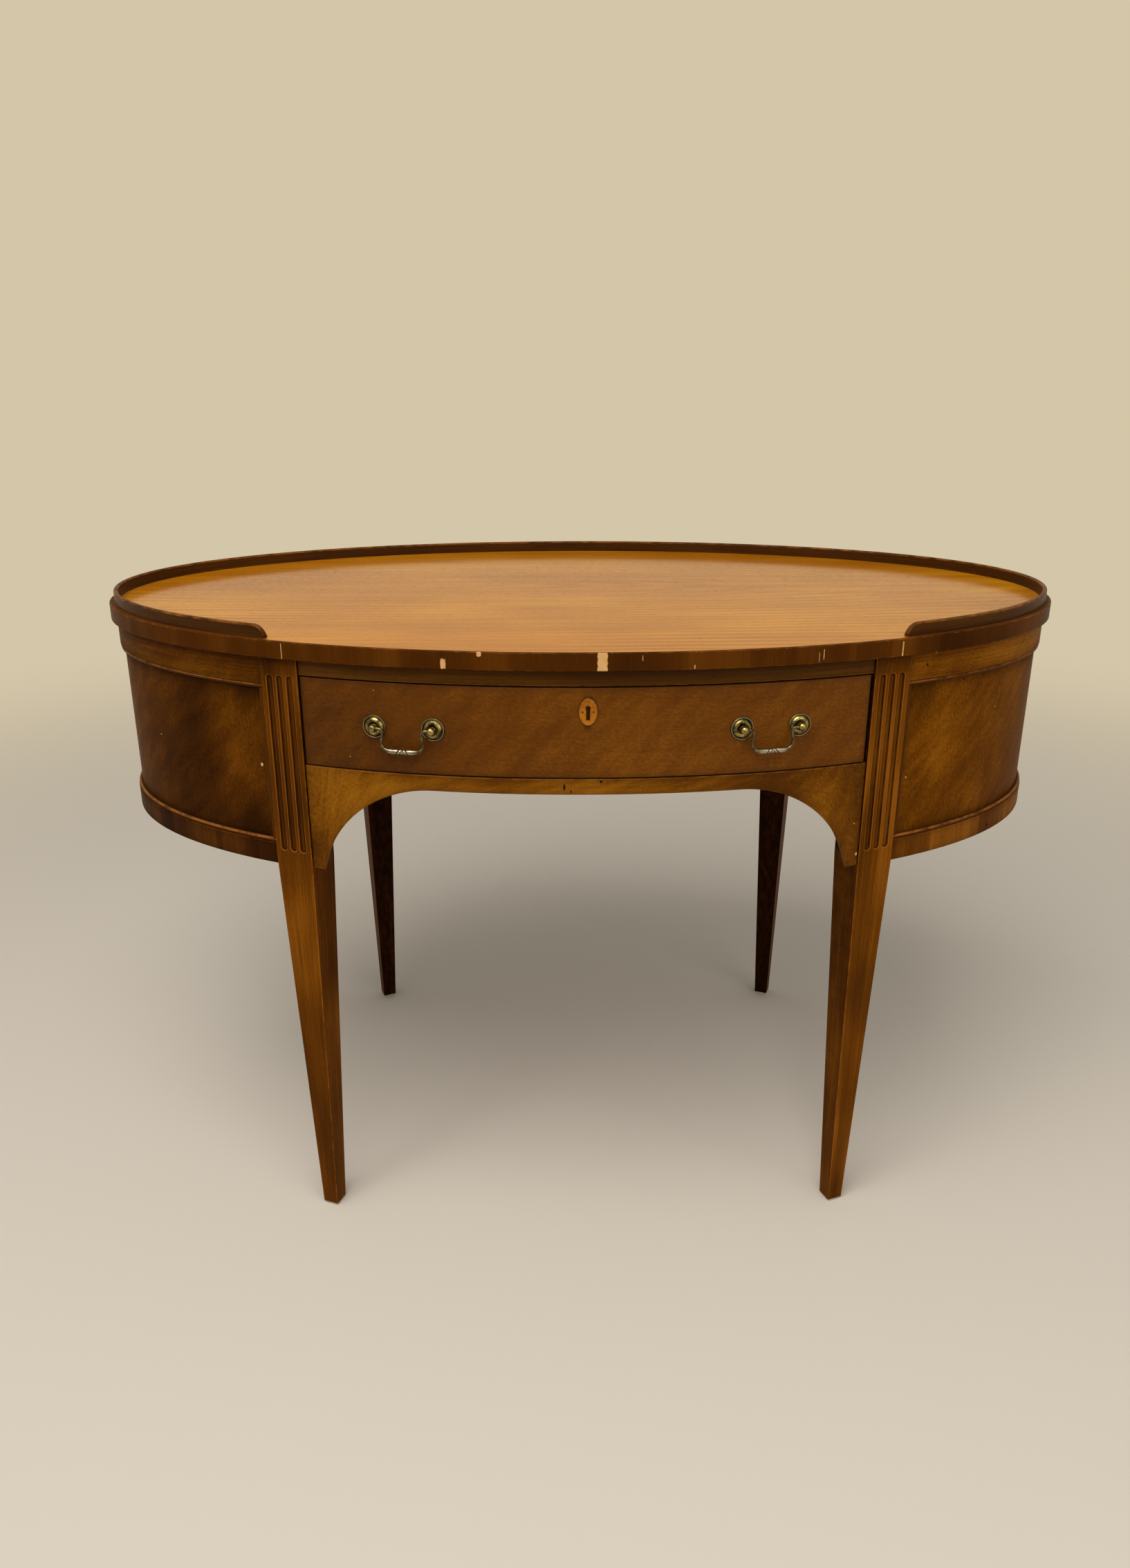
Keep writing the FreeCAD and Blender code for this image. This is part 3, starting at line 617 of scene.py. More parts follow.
PANEL_RIGHT = replace(
    PANEL_LEFT, name="right end veneer", dark=tone(74, 39, 3), middle=tone(104, 58, 4),
    light=tone(138, 84, 12), figure_share=1.1, shift=4.0,
    stains=(Spot(415, -246, 630, 70, 0.1), Spot(371, -268, 690, 60, -0.12), Spot(470, -210, 600, 60, -0.06),
            Spot(560, -120, 640, 90, -0.12, 2.0)),
    scars=(Spot(436.3, -233.2, 698.5, 1.5, -1), Spot(492.6, -192.3, 654.4, 1.0),
           Spot(369.5, -268.9, 591.8, 1.2)))
# Darker than the right frieze: partly a different sheet, partly painted shade on the left end.
FRIEZE_LEFT = Wood(
    "left frieze", "mahogany_case", tone(54, 27, 3), tone(82, 44, 4), tone(112, 67, 10), Grain.ALONG_U,
    Figure.MOTTLE, figure_share=0.7, roughness=0.42, specular=0.015, wear=0.25, cloud_share=0.8, shift=6.0)
FRIEZE_RIGHT = replace(
    FRIEZE_LEFT, name="right frieze", dark=tone(80, 42, 5), middle=tone(114, 65, 7),
    light=tone(148, 93, 18), shift=7.0,
    scars=(Spot(380.6, -269, 725, 1.9, -1), Spot(390.4, -264.3, 738.5, 1.6)))
# Darker than the right base rail: partly a different sheet, partly painted shade on the left end.
BASE_LEFT = Wood(
    "left base rail", "mahogany_case", tone(38, 17, 3), tone(62, 31, 5), tone(94, 53, 12), Grain.ALONG_V,
    Figure.CROSSBAND, figure_share=0.16, fibre_share=0.35, streak_share=0.5, cloud_share=1.1,
    roughness=0.42, specular=0.015, wear=0.25, segment=0.05)
BASE_RIGHT = replace(
    BASE_LEFT, name="right base rail", dark=tone(68, 34, 6), middle=tone(104, 58, 10),
    light=tone(146, 90, 24), shift=3.0, scars=(Spot(502.5, -190.1, 500.1, 2.6, -1),))
BEAD_WOOD = Wood(
    "panel bead", "mahogany_case", tone(58, 29, 5), tone(82, 45, 8), tone(112, 66, 16), Grain.ALONG_U,
    roughness=0.45, specular=0.03, wear=0.6, worn=tone(158, 98, 46), shift=9.0)
KNEEHOLE_WOOD = Wood(
    "stained inner board", "secondary_wood", tone(34, 16, 4), tone(50, 26, 8), tone(70, 40, 14),
    Grain.ALONG_Y, roughness=0.7, specular=0.01, wear=0.0)
DRAWER_BOX_X = Wood(
    "drawer box across", "secondary_wood", tone(126, 84, 46), tone(158, 112, 66), tone(184, 138, 88),
    Grain.ALONG_X, roughness=0.55, wear=0.0)
DRAWER_BOX_Y = replace(DRAWER_BOX_X, name="drawer box along", grain=Grain.ALONG_Y)
HANDLE_BRASS = Brass("aged brass", bright=tone(170, 148, 86))
BAIL_BRASS = Brass("dark bail brass", bright=tone(116, 104, 72), olive=tone(80, 71, 47))
LOCK_BRASS = Brass("lock brass", bright=tone(158, 138, 84), shine=0.36)
STEEL = Plain(
    "dull steel", "dull_steel", tone(52, 50, 48), tone(118, 114, 108), metallic=1.0, roughness=0.42)
BOXWOOD = Plain(
    "boxwood inlay", "boxwood", tone(124, 68, 4), tone(192, 120, 18), roughness=0.45, scale=260.0)
PIN_STEEL = Plain(
    "escutcheon pin", "dull_steel", tone(24, 16, 10), tone(60, 44, 28), metallic=1.0, roughness=0.5)
FOOT_PAD = Plain("foot pad", "foot_pad", tone(150, 140, 122), tone(206, 198, 180), roughness=0.8)


# Meshes

SHARP_CORNER = math.radians(38)


@dataclass
class Shell:
    """One closed skin: quads between rings of points, and flat caps at open ends."""

    points: Array
    quads: Array
    quad_uv: Array
    caps: list[Array]
    cap_uv: list[Array]
    marks: dict[str, Array]

    def volume(self) -> float:
        """Sum over triangles of corner dot the cross product of the two others, over six.

        Returns:
            The enclosed volume, below zero where the faces look inwards.
        """
        centred = self.points - self.points.mean(axis=0)
        triangles = [self.quads[:, [0, 1, 2]], self.quads[:, [0, 2, 3]]]
        for cap in self.caps:
            fan = np.stack([np.full(len(cap) - 2, cap[0]), cap[1:-1], cap[2:]], axis=1)
            triangles.append(fan)
        corners = centred[np.concatenate(triangles)]
        products = np.einsum("ij,ij->i", corners[:, 0], np.cross(corners[:, 1], corners[:, 2]))
        return float(products.sum() / 6.0)

    def outward(self) -> "Shell":
        """The same skin with its faces turned outwards.

        Returns:
            This skin, or a turned copy.
        """
        if self.volume() >= 0:
            return self
        caps = [cap[::-1] for cap in self.caps]
        cap_uv = [uv[::-1] for uv in self.cap_uv]
        return Shell(self.points, self.quads[:, ::-1], self.quad_uv[:, ::-1], caps, cap_uv, self.marks)


def loft(points: Array, along: Array, around: Array, marks: Optional[dict[str, Array]] = None,
         closed: bool = False) -> Shell:
    """Skin over rings of points, each ring closed on itself, ring joined to ring.

    Args:
        points: Rings of points, with shape rings, sides, 3.
        along: Metres along the path at each ring, with one more when the path is closed.
        around: Metres round the ring at each side, with one more to close it.
        marks: Numbers to store on the points, each with shape rings, sides.
        closed: Whether the last ring joins the first.

    Returns:
        The skin, facing outwards.
    """
    rings, sides = points.shape[:2]
    steps = rings if closed else rings - 1
    row, column = np.meshgrid(np.arange(steps), np.arange(sides), indexing="ij")
    turns = ((0, 0), (1, 0), (1, 1), (0, 1))
    quads = np.stack([(row + i) % rings * sides + (column + j) % sides for i, j in turns], axis=-1)
    uv = np.stack([np.stack([along[row + i], around[column + j]], axis=-1) for i, j in turns], axis=-2)
    caps: list[Array] = []
    cap_uv: list[Array] = []
    if not closed:
        first = np.arange(sides)
        caps = [first, ((rings - 1) * sides + first)[::-1]]
        flat = np.stack([np.full(sides, along[0]), around[:-1]], axis=-1)
        cap_uv = [flat, flat[::-1] + [along[-1] - along[0], 0.0]]
    stored = {name: np.broadcast_to(mark, (rings, sides)).ravel() for name, mark in (marks or {}).items()}
    skin = Shell(points.reshape(-1, 3), quads.reshape(-1, 4), uv.reshape(-1, 4, 2), caps, cap_uv, stored)
    return skin.outward()


def make_mesh(name: str, shells: Sequence[Shell]) -> bpy.types.Object:
    """One object from closed skins.

    Args:
        name: The object's name.
        shells: Its skins.

    Returns:
        The object, linked to the scene, smooth but for its sharp corners.
    """
    points = np.concatenate([shell.points for shell in shells])
    starts = np.cumsum([0] + [len(shell.points) for shell in shells])[:-1]
    quads = np.concatenate([shell.quads + start for shell, start in zip(shells, starts)])
    caps = [cap + start for shell, start in zip(shells, starts) for cap in shell.caps]
    corners = np.concatenate([quads.ravel()] + caps)
    uv = [shell.quad_uv.reshape(-1, 2) for shell in shells] + [uv for shell in shells for uv in shell.cap_uv]
    sizes = np.concatenate([np.full(len(quads), 4), np.array([len(cap) for cap in caps], dtype=int)])
    mesh = bpy.data.meshes.new(name)
    mesh.vertices.add(len(points))
    mesh.vertices.foreach_set("co", points.astype(np.float32).ravel())
    mesh.loops.add(len(corners))
    mesh.loops.foreach_set("vertex_index", corners.astype(np.int32))
    mesh.polygons.add(len(sizes))
    mesh.polygons.foreach_set("loop_start", (np.cumsum(sizes) - sizes).astype(np.int32))
    mesh.update(calc_edges=True)
    layer = mesh.uv_layers.new(name="UVMap")
    layer.data.foreach_set("uv", np.concatenate(uv).astype(np.float32).ravel())
    names = sorted({mark for shell in shells for mark in shell.marks})
    for mark in names:
        values = [shell.marks.get(mark, np.zeros(len(shell.points))) for shell in shells]
        stored = mesh.attributes.new(mark, "FLOAT", "POINT")
        stored.data.foreach_set("value", np.concatenate(values).astype(np.float32))
    mesh.shade_smooth()
    mesh.set_sharp_from_angle(angle=SHARP_CORNER)
    made = bpy.data.objects.new(name, mesh)
    bpy.context.scene.collection.objects.link(made)
    return made


MATERIALS: dict[str, bpy.types.Material] = {}


def finished(finish: Finish) -> bpy.types.Material:
    """A finish's material, made once.

    Args:
        finish: The finish.

    Returns:
        Its material.
    """
    if finish.name not in MATERIALS:
        MATERIALS[finish.name] = finish.material()
    return MATERIALS[finish.name]


def place(name: str, shells: Sequence[Shell], body: str, nodes: Sequence[str], finish: Finish) -> None:
    """Make a piece, dress it and let it stand for its CAD nodes.

    Args:
        name: The piece's name.
        shells: Its skins.
        body: The CAD body that it rides on.
        nodes: The CAD nodes that it stands for.
        finish: Its finish.
    """
    piece = make_mesh(name, shells)
    piece.data.materials.append(finished(finish))
    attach(piece, body)
    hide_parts(*nodes)
    LOG.info("%s: %d faces, %s", name, len(piece.data.polygons), finish.name)


def dress(nodes: Sequence[str], finish: Finish) -> None:
    """Give CAD nodes a finish.

    Args:
        nodes: The nodes' names.
        finish: The finish that they get.
    """
    for name in nodes:
        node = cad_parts[name]
        node.data.materials.clear()
        node.data.materials.append(finished(finish))
        LOG.info("%s: %s", name, finish.name)


# The oval and what is cut from it

@dataclass(frozen=True)
class Oval:
    """Plan of the top: an ellipse; a line inset from it is an ellipse with both half axes shortened."""

    half_length: float = 607 * MM
    half_depth: float = 355 * MM

    def points(self, angle: Array, inset: Array, height: Array) -> Array:
        """Points at (a - inset) cos angle, (b - inset) sin angle, height.

        Args:
            angle: Angles round the oval.
            inset: Insets from its edge.
            height: Heights.

        Returns:
            Points with the shape that the three make together.
        """
        x = (self.half_length - inset) * np.cos(angle)
        y = (self.half_depth - inset) * np.sin(angle)
        return join(x, y, height)

    def front_angle(self, x: Array, inset: float) -> Array:
        """Angle of the front point at x: minus the arc cosine of x over the half length."""
        return -np.arccos(np.clip(x / (self.half_length - inset), -1.0, 1.0))

    def front_y(self, x: float, inset: float) -> float:
        """Y of the front point at x."""
        return -(self.half_depth - inset) * math.sqrt(1.0 - (x / (self.half_length - inset)) ** 2)

    def turn(self, x: float, inset: float) -> float:
        """Angle between the front outline and the long axis at x."""
        a, b = self.half_length - inset, self.half_depth - inset
        return math.atan2(b * b * x, -a * a * self.front_y(x, inset))

    def meets(self, direction: Array, offset: float, inset: Array) -> Array:
        """Angle at which an inset oval meets the upright plane where direction dot point is offset.

        With A and B the half axes times the direction, A cos t + B sin t = offset, so t is the
        direction of (A, B) less the arc cosine of offset over the length of (A, B).

        Args:
            direction: The plane's direction in plan.
            offset: Its distance from the middle.
            inset: Insets from the oval's edge.

        Returns:
            The angle at each inset.
        """
        run = (self.half_length - inset) * direction[0]
        rise = (self.half_depth - inset) * direction[1]
        return np.arctan2(rise, run) - np.arccos(offset / np.hypot(run, rise))


OVAL = Oval()
Ends = Callable[[Array], tuple[Array, Array]]
Low = Union[float, Callable[[Array], Array]]
Corners = tuple[float, float, float, float]


@dataclass(frozen=True)
class LegPlan:
    """Where the legs stand: their outer faces touch an inset oval and turn with it."""

    face_x: float = 337.5 * MM
    inset: float = 7 * MM
    width: float = 47 * MM

    @property
    def turn(self) -> float:
        """Angle that the front right leg is turned by."""
        return OVAL.turn(self.face_x, self.inset)

    @property
    def axis(self) -> Array:
        """Plan point of the front right leg's axis."""
        face = np.array([self.face_x, OVAL.front_y(self.face_x, self.inset)])
        return face + self.width / 2 * np.array([-math.sin(self.turn), math.cos(self.turn)])

    @property
    def sideways(self) -> Array:
        """Direction across the front right leg, away from the drawer."""
        return np.array([math.cos(self.turn), math.sin(self.turn)])

    def meets(self, inset: Array, offset: float) -> Array:
        """Angle at which an oval meets a plane beside the front right leg's axis."""
        return OVAL.meets(self.sideways, float(self.axis @ self.sideways) + offset, inset)

    def front(self, gap: float) -> Ends:
        """Ends of a front piece between the legs.

        Args:
            gap: Distance kept from each leg.

        Returns:
            A function that gives the start and end angles at each inset.
        """
        def ends(inset: Array) -> tuple[Array, Array]:
            """Left and right angles."""
            right = self.meets(inset, -self.width / 2 - gap)
            return -np.pi - right, right
        return ends

    def rear(self, gap: float) -> Ends:
        """Ends of a rear piece between the legs.

        Args:
            gap: Distance kept from each leg.

        Returns:
            A function that gives the start and end angles at each inset.
        """
        def ends(inset: Array) -> tuple[Array, Array]:
            """Right and left angles."""
            right = self.meets(inset, -self.width / 2 - gap)
            return -right, np.pi + right
        return ends

    def side(self, side: int, gap: float) -> Ends:
        """Ends of a piece round the right or left end.

        Args:
            side: -1 for the left, 1 for the right.
            gap: Distance kept from each leg.

        Returns:
            A function that gives the start and end angles at each inset.
        """
        middle = 0.0 if side > 0 else np.pi

        def ends(inset: Array) -> tuple[Array, Array]:
            """Front and rear angles, or rear and front on the left."""
            front = self.meets(inset, self.width / 2 + gap)
            return middle + front, middle - front
        return ends

    def stand(self, x: Array, y: Array, z: Array, side_x: int, side_y: int) -> Array:
        """Points given about a leg's own axis, its face towards -Y, at one corner of the case.

        Args:
            x: Across the leg.
            y: Into the desk.
            z: Up.
            side_x: -1 for a left leg, 1 for a right one.
            side_y: -1 for a front leg, 1 for a rear one.

        Returns:
            The points in the desk's own frame.
        """
        placed_x = x * math.cos(self.turn) - y * math.sin(self.turn) + self.axis[0]
        placed_y = x * math.sin(self.turn) + y * math.cos(self.turn) + self.axis[1]
        return join(side_x * placed_x, -side_y * placed_y, z)


LEGS = LegPlan()

# A glue line, a barely rounded arris, points round a corner and the two stations of a steep wall
GLUE = 0.05 * MM
FINE_ROUND = 0.3 * MM
CORNER_POINTS = 4
WALL_STEP = np.array([-0.03, 0.03]) * MM

# Dirt and painted shade by a strip's borders, and painted shade on what lies deeper than its outer face
BORDER_REACH = 4 * MM
HIDDEN_DEPTH = 2.5 * MM
HIDDEN_SHADE = 0.9


@dataclass(frozen=True)
class Section:
    """Cross-section of an oval piece.

    Each point has an inset from the oval's edge, a height, which is a share of the piece's own plus a lift,
    and its wear. Around gives metres round the section.
    """

    inset: Array
    share: Array
    lift: Array
    wear: Array
    around: Array


def box_section(outer: float, inner: float, tall: float, rounds: Corners, rows: Optional[Array] = None,
                worn: Corners = (1, 1, 0, 0)) -> Section:
    """Rectangle with rounded corners, from the outer low corner up, in and down again.

    Args:
        outer: Inset of the outer face.
        inner: Inset of the inner face.
        tall: Usual height, for the metres round the section.
        rounds: Radii at outer low, outer high, inner high and inner low corners.
        rows: Shares of the outer face's height that get a row of points.
        worn: Wear stored at each corner.

    Returns:
        The section.
    """
    face = np.linspace(0.1, 0.9, 5) if rows is None else rows
    face = np.concatenate([[0.015], face, [0.985]])
    arc = np.linspace(0.0, np.pi / 2, CORNER_POINTS)
    sine, cosine = np.sin(arc), np.cos(arc)
    low_out, high_out, high_in, low_in = rounds
    flat = np.array([0.08, 0.92])
    ones, none = np.ones(CORNER_POINTS), np.zeros(CORNER_POINTS)
    back = np.array([0.03, 0.5, 0.97])
    pair = np.zeros(2)
    parts = [
        (outer + low_out * (1 - sine), none, low_out * (1 - cosine), none + worn[0]),
        (np.full(len(face), outer), face, low_out * (1 - face) - high_out * face, np.zeros(len(face))),
        (outer + high_out * (1 - cosine), ones, high_out * (sine - 1), none + worn[1]),
        (outer + high_out + (inner - outer - high_out - high_in) * flat, pair + 1, pair, pair),
        (inner - high_in * (1 - sine), ones, high_in * (cosine - 1), none + worn[2]),
        (np.full(3, inner), 1 - back, low_in * back - high_in * (1 - back), np.zeros(3)),
        (inner - low_in * (1 - cosine), none, low_in * (1 - sine), none + worn[3]),
        (inner - low_in - (inner - outer - low_in - low_out) * flat, pair, pair, pair),
    ]
    inset, share, lift, wear = (np.concatenate([part[index] for part in parts]) for index in range(4))
    height = share * tall + lift
    run = np.hypot(np.diff(np.append(inset, inset[0])), np.diff(np.append(height, height[0])))
    return Section(inset, share, lift, wear, running(run))


def path_metres(points: Array, closed: bool = False) -> Array:
    """Metres along the first corner of each ring, with one more when the path is closed.

    Args:
        points: Rings of points.
        closed: Whether the last ring joins the first.

    Returns:
        Metres from the first ring.
    """
    line = points[:, 0]
    if closed:
        line = np.concatenate([line, line[:1]])
    steps = np.linalg.norm(np.diff(line, axis=0), axis=-1)
    return running(steps)


def strip(section: Section, ends: Ends, low: Low, high: float,
          stations: Array) -> tuple[Array, Array, Array]:
    """Carry a section along an oval between two ends that depend on the inset.

    Args:
        section: The cross-section.
        ends: Start and end angles at each inset.
        low: Lowest height, or a function of x that gives it.
        high: Highest height.
        stations: Shares of the way from start to end.

    Returns:
        Angles, insets and heights, each with shape stations, section points.
    """
    start, end = ends(section.inset)
    angle = start + (end - start) * stations[:, None]
    inset = np.broadcast_to(section.inset, angle.shape)
    bottom = low if isinstance(low, float) else low(OVAL.points(angle, inset, 0.0)[..., 0])
    height = bottom + section.share * (high - bottom) + section.lift
    return angle, inset, height + np.zeros(angle.shape)


def border_dirt_and_shade(points: Array, reach: float) -> Array:
    """Dirt and painted shade by a strip's borders: e to the power of minus the distance to the nearest one
    over a reach.

    Args:
        points: Rings of points.
        reach: Distance at which the darkening is down to about a third.

    Returns:
        Dirt and painted shade from 0 to 1 at each point.
    """
    run = path_metres(points)
    side = np.minimum(run, run[-1] - run)[:, None]
    height = points[..., 2]
    low = height - height.min(axis=1, keepdims=True)
    high = height.max(axis=1, keepdims=True) - height
    return np.exp(-np.minimum(side, np.minimum(low, high)) / reach)


def strip_skin(points: Array, section: Section, dirt_and_shade: float) -> Shell:
    """Skin over the points of a carried section, with dirt and painted shade by its borders and painted
    shade where it is out of sight.

    Args:
        points: Rings of points, with shape stations, section points, 3.
        section: The cross-section that was carried.
        dirt_and_shade: Dirt and painted shade right at the borders.

    Returns:
        The skin.
    """
    # Painted shade on faces that lie deeper than the outer face, such as the undersides of the arches.
    hidden = HIDDEN_SHADE * (section.inset > section.inset.min() + HIDDEN_DEPTH)
    grime = np.maximum(dirt_and_shade * border_dirt_and_shade(points, BORDER_REACH), hidden)
    return loft(points, path_metres(points), section.around, {"wear": section.wear[None, :], "grime": grime})


def strip_shell(section: Section, ends: Ends, low: Low, high: float, stations: Array,
                dirt_and_shade: float = 0.0) -> Shell:
    """Skin of a section carried along an oval."""
    return strip_skin(OVAL.points(*strip(section, ends, low, high, stations)), section, dirt_and_shade)


# Sub-assemblies

@dataclass(frozen=True)
class Chip:
    """A place where the edge veneer is gone or scratched; bare says how pale it is."""

    x: float
    low: float
    high: float
    width: float
    depth: float
    bare: float = 1.0

    @classmethod
    def of_mm(cls, x: float, low: float, high: float, width: float, depth: float,
              bare: float = 1.0) -> "Chip":
        """A chip whose lengths are given in millimetres."""
        return cls(x * MM, low * MM, high * MM, width * MM, depth * MM, bare)

    def cover(self, x: Array, z: Array) -> Array:
        """Share of the chip at each point: inside a ragged outline that wavers with two sines.

        Args:
            x: Places along the edge.
            z: Heights.

        Returns:
            The share from 0 to 1.
        """
        half = self.width / 2 * (1 + 0.07 * np.sin(900 * z + 400 * self.x))
        ragged = 0.35 * MM * np.sin(1500 * x + 300 * self.x)
        beside = smooth_step(half - np.abs(x - self.x), -0.15 * MM, 0.2 * MM)
        above = smooth_step(z - self.low + ragged, -0.3 * MM, 0.3 * MM)
        below = smooth_step(self.high - z + ragged, -0.3 * MM, 0.3 * MM)
        return beside * above * below


@dataclass
class OvalTop:
    """Top board, crossbanded edge and the gallery that stands on it, open at the front."""

    low: float = 740 * MM
    high: float = 760 * MM
    band: float = 3 * MM
    edge_round: float = 1.2 * MM
    gallery_outer: float = 6.5 * MM
    gallery_inner: float = 12 * MM
    gallery_tall: float = 15 * MM
    gallery_round: float = 2.2 * MM
    gallery_end_x: float = 350 * MM
    core: float = 354 * MM
    waist: float = 150 * MM
    front_steps: int = 760
    rear_steps: int = 260
    nick_count: int = 40
    nick_seed: int = 11
    chips: tuple[Chip, ...] = (
        Chip.of_mm(-152, 741.2, 751.5, 5.6, 0.9),
        Chip.of_mm(-151.6, 752.6, 762, 5.0, 0.7, 0.25),
        Chip.of_mm(-114, 755.2, 762, 4.6, 0.8),
        Chip.of_mm(14.3, 739, 762, 10.6, 0.9),
        Chip.of_mm(344.2, 740, 757, 1.6, 0.5),
        Chip.of_mm(246, 742, 753, 1.0, 0.25, 0.55),
        Chip.of_mm(251, 744, 756, 1.2, 0.25, 0.6),
        Chip.of_mm(-330, 741, 758, 1.0, 0.3, 0.7),
        Chip.of_mm(56, 751, 757, 1.0, 0.2, 0.6),
        Chip.of_mm(110.8, 741, 746, 1.6, 0.3, 0.6),
    )

    def build(self) -> None:
        """Make the three pieces."""
        place("top_board", [self.board()], "frame", ["desk_top"], POLISHED_TOP)
        place("edge_band", [self.edge()], "frame", ["top_edge_band"], EDGE_BAND)
        place("gallery", [self.gallery()], "frame", ["gallery_rail"], GALLERY)

    def board(self) -> Shell:
        """Oval slab in rings from the middle of the underside round the rim to the middle of the top.

        Outside the gallery the rim is dark, as the edge is.

        Returns:
            The skin, facing outwards.
        """
        angle = circle(360)[None, :]
        rim = self.band + GLUE
        under, over = self.gallery_outer + 2 * MM, self.gallery_outer + 3 * MM
        inset = np.array([self.core, self.waist, rim, rim, under, over, self.waist, self.core])[:, None]
        height = np.array([self.low] * 3 + [self.high] * 5)[:, None]
        points = OVAL.points(angle, inset, height)
        fenced = (points[..., 1] > 0) | (np.abs(points[..., 0]) > self.gallery_end_x)
        dark = fenced & (inset <= under) & (height > self.low)
        return loft(points, np.linspace(0, 1, len(inset)), ring_metres(3, angle.size), {"grime": dark * 1.0})

    def edge(self) -> Shell:
        """Edge veneer as a closed ring, pushed in where it is chipped and nicked along its upper arris.

        Returns:
            The skin, facing outwards.
        """
        section = box_section(0.0, self.band, self.high - self.low,
                              (self.edge_round, self.edge_round, FINE_ROUND, FINE_ROUND),
                              np.linspace(0.05, 0.95, 24))
        angles = [np.linspace(-np.pi, 0.0, self.front_steps, endpoint=False),
                  np.linspace(0.0, np.pi, self.rear_steps, endpoint=False)]
        for chip in self.chips:
            reach = chip.width * 0.62 + 0.6 * MM
            angles.append(OVAL.front_angle(np.arange(chip.x - reach, chip.x + reach, 0.3 * MM), 0.0))
        angle = np.unique(np.round(np.concatenate(angles), 6))[:, None]
        inset = np.broadcast_to(section.inset, (len(angle), len(section.inset))).copy()
        height = self.low + section.share * (self.high - self.low) + section.lift
        height = np.broadcast_to(height, inset.shape).copy()
        flat = OVAL.points(angle, inset, height)
        outer = (section.inset < self.edge_round + 0.01 * MM)[None, :]
        front = (flat[..., 1] < 0) & outer
        bare = np.zeros(inset.shape)
        for chip in self.chips:
            cover = chip.cover(flat[..., 0], height) * front
            inset += cover * chip.depth
            bare = np.maximum(bare, cover * chip.bare)
        nick = self.nicks(angle)
        arris = outer & (section.share > 0.98) & (section.lift > -self.edge_round)
        inset += nick * arris
        height -= 0.6 * nick * arris
        bare = np.maximum(bare, nick / (1.3 * MM) * arris)
        points = OVAL.points(angle, inset, height)
        return loft(points, path_metres(points, True), section.around,
                    {"wear": section.wear[None, :] * 0.8, "chip": bare}, closed=True)

    def nicks(self, angle: Array) -> Array:
        """Depth of the small nicks along the arris: the deepest of many bell curves of distance.

        Args:
            angle: Angles round the oval, as a column.

        Returns:
            The depth at each angle, as a column.
        """
        random = np.random.default_rng(self.nick_seed)
        places = random.uniform(-np.pi * 1.05, np.pi * 0.05, self.nick_count)
        wide = random.uniform(1.0, 3.2, self.nick_count) * MM
        deep = random.uniform(0.25, 0.7, self.nick_count) * MM
        metres = np.abs(angle - places) * self.run_per_radian(angle)
        return (np.exp(-(metres / wide) ** 2) * deep).max(axis=1, keepdims=True)

    @staticmethod
    def run_per_radian(angle: Array) -> Array:
        """Metres of outline for each radian: the length of (a sin angle, b cos angle)."""
        return np.hypot(OVAL.half_length * np.sin(angle), OVAL.half_depth * np.cos(angle))

    def gallery(self) -> Shell:
        """Thin upright rail whose two ends come down to the top along a quarter round.

        Returns:
            The skin, facing outwards.
        """
        section = box_section(self.gallery_outer, self.gallery_inner, self.gallery_tall,
                              (FINE_ROUND, self.gallery_round, self.gallery_round, FINE_ROUND), None,
                              (0, 1, 1, 0))
        middle = (self.gallery_outer + self.gallery_inner) / 2
        start = float(OVAL.front_angle(np.array(self.gallery_end_x), middle))
        near = np.linspace(0.0, 0.045, 22) ** 1.5 * 6
        near = near[near < 0.05]
        share = np.unique(np.concatenate([near, np.linspace(0.05, 0.95, 300), 1 - near]))
        angle = start + (2 * (-np.pi / 2 - start) + 2 * np.pi) * share
        middles = (angle[1:] + angle[:-1]) / 2
        run = running(np.diff(angle) * self.run_per_radian(middles))
        from_end = np.minimum(run, run[-1] - run)
        rise = np.sqrt(1 - np.clip(1 - from_end / self.gallery_tall, 0.0, 0.985) ** 2)
        tall = (self.gallery_tall * rise)[:, None]
        height = self.high + section.share * tall + section.lift * rise[:, None]
        points = OVAL.points(angle[:, None], section.inset[None, :], height)
        return loft(points, path_metres(points), section.around, {"wear": section.wear[None, :]})


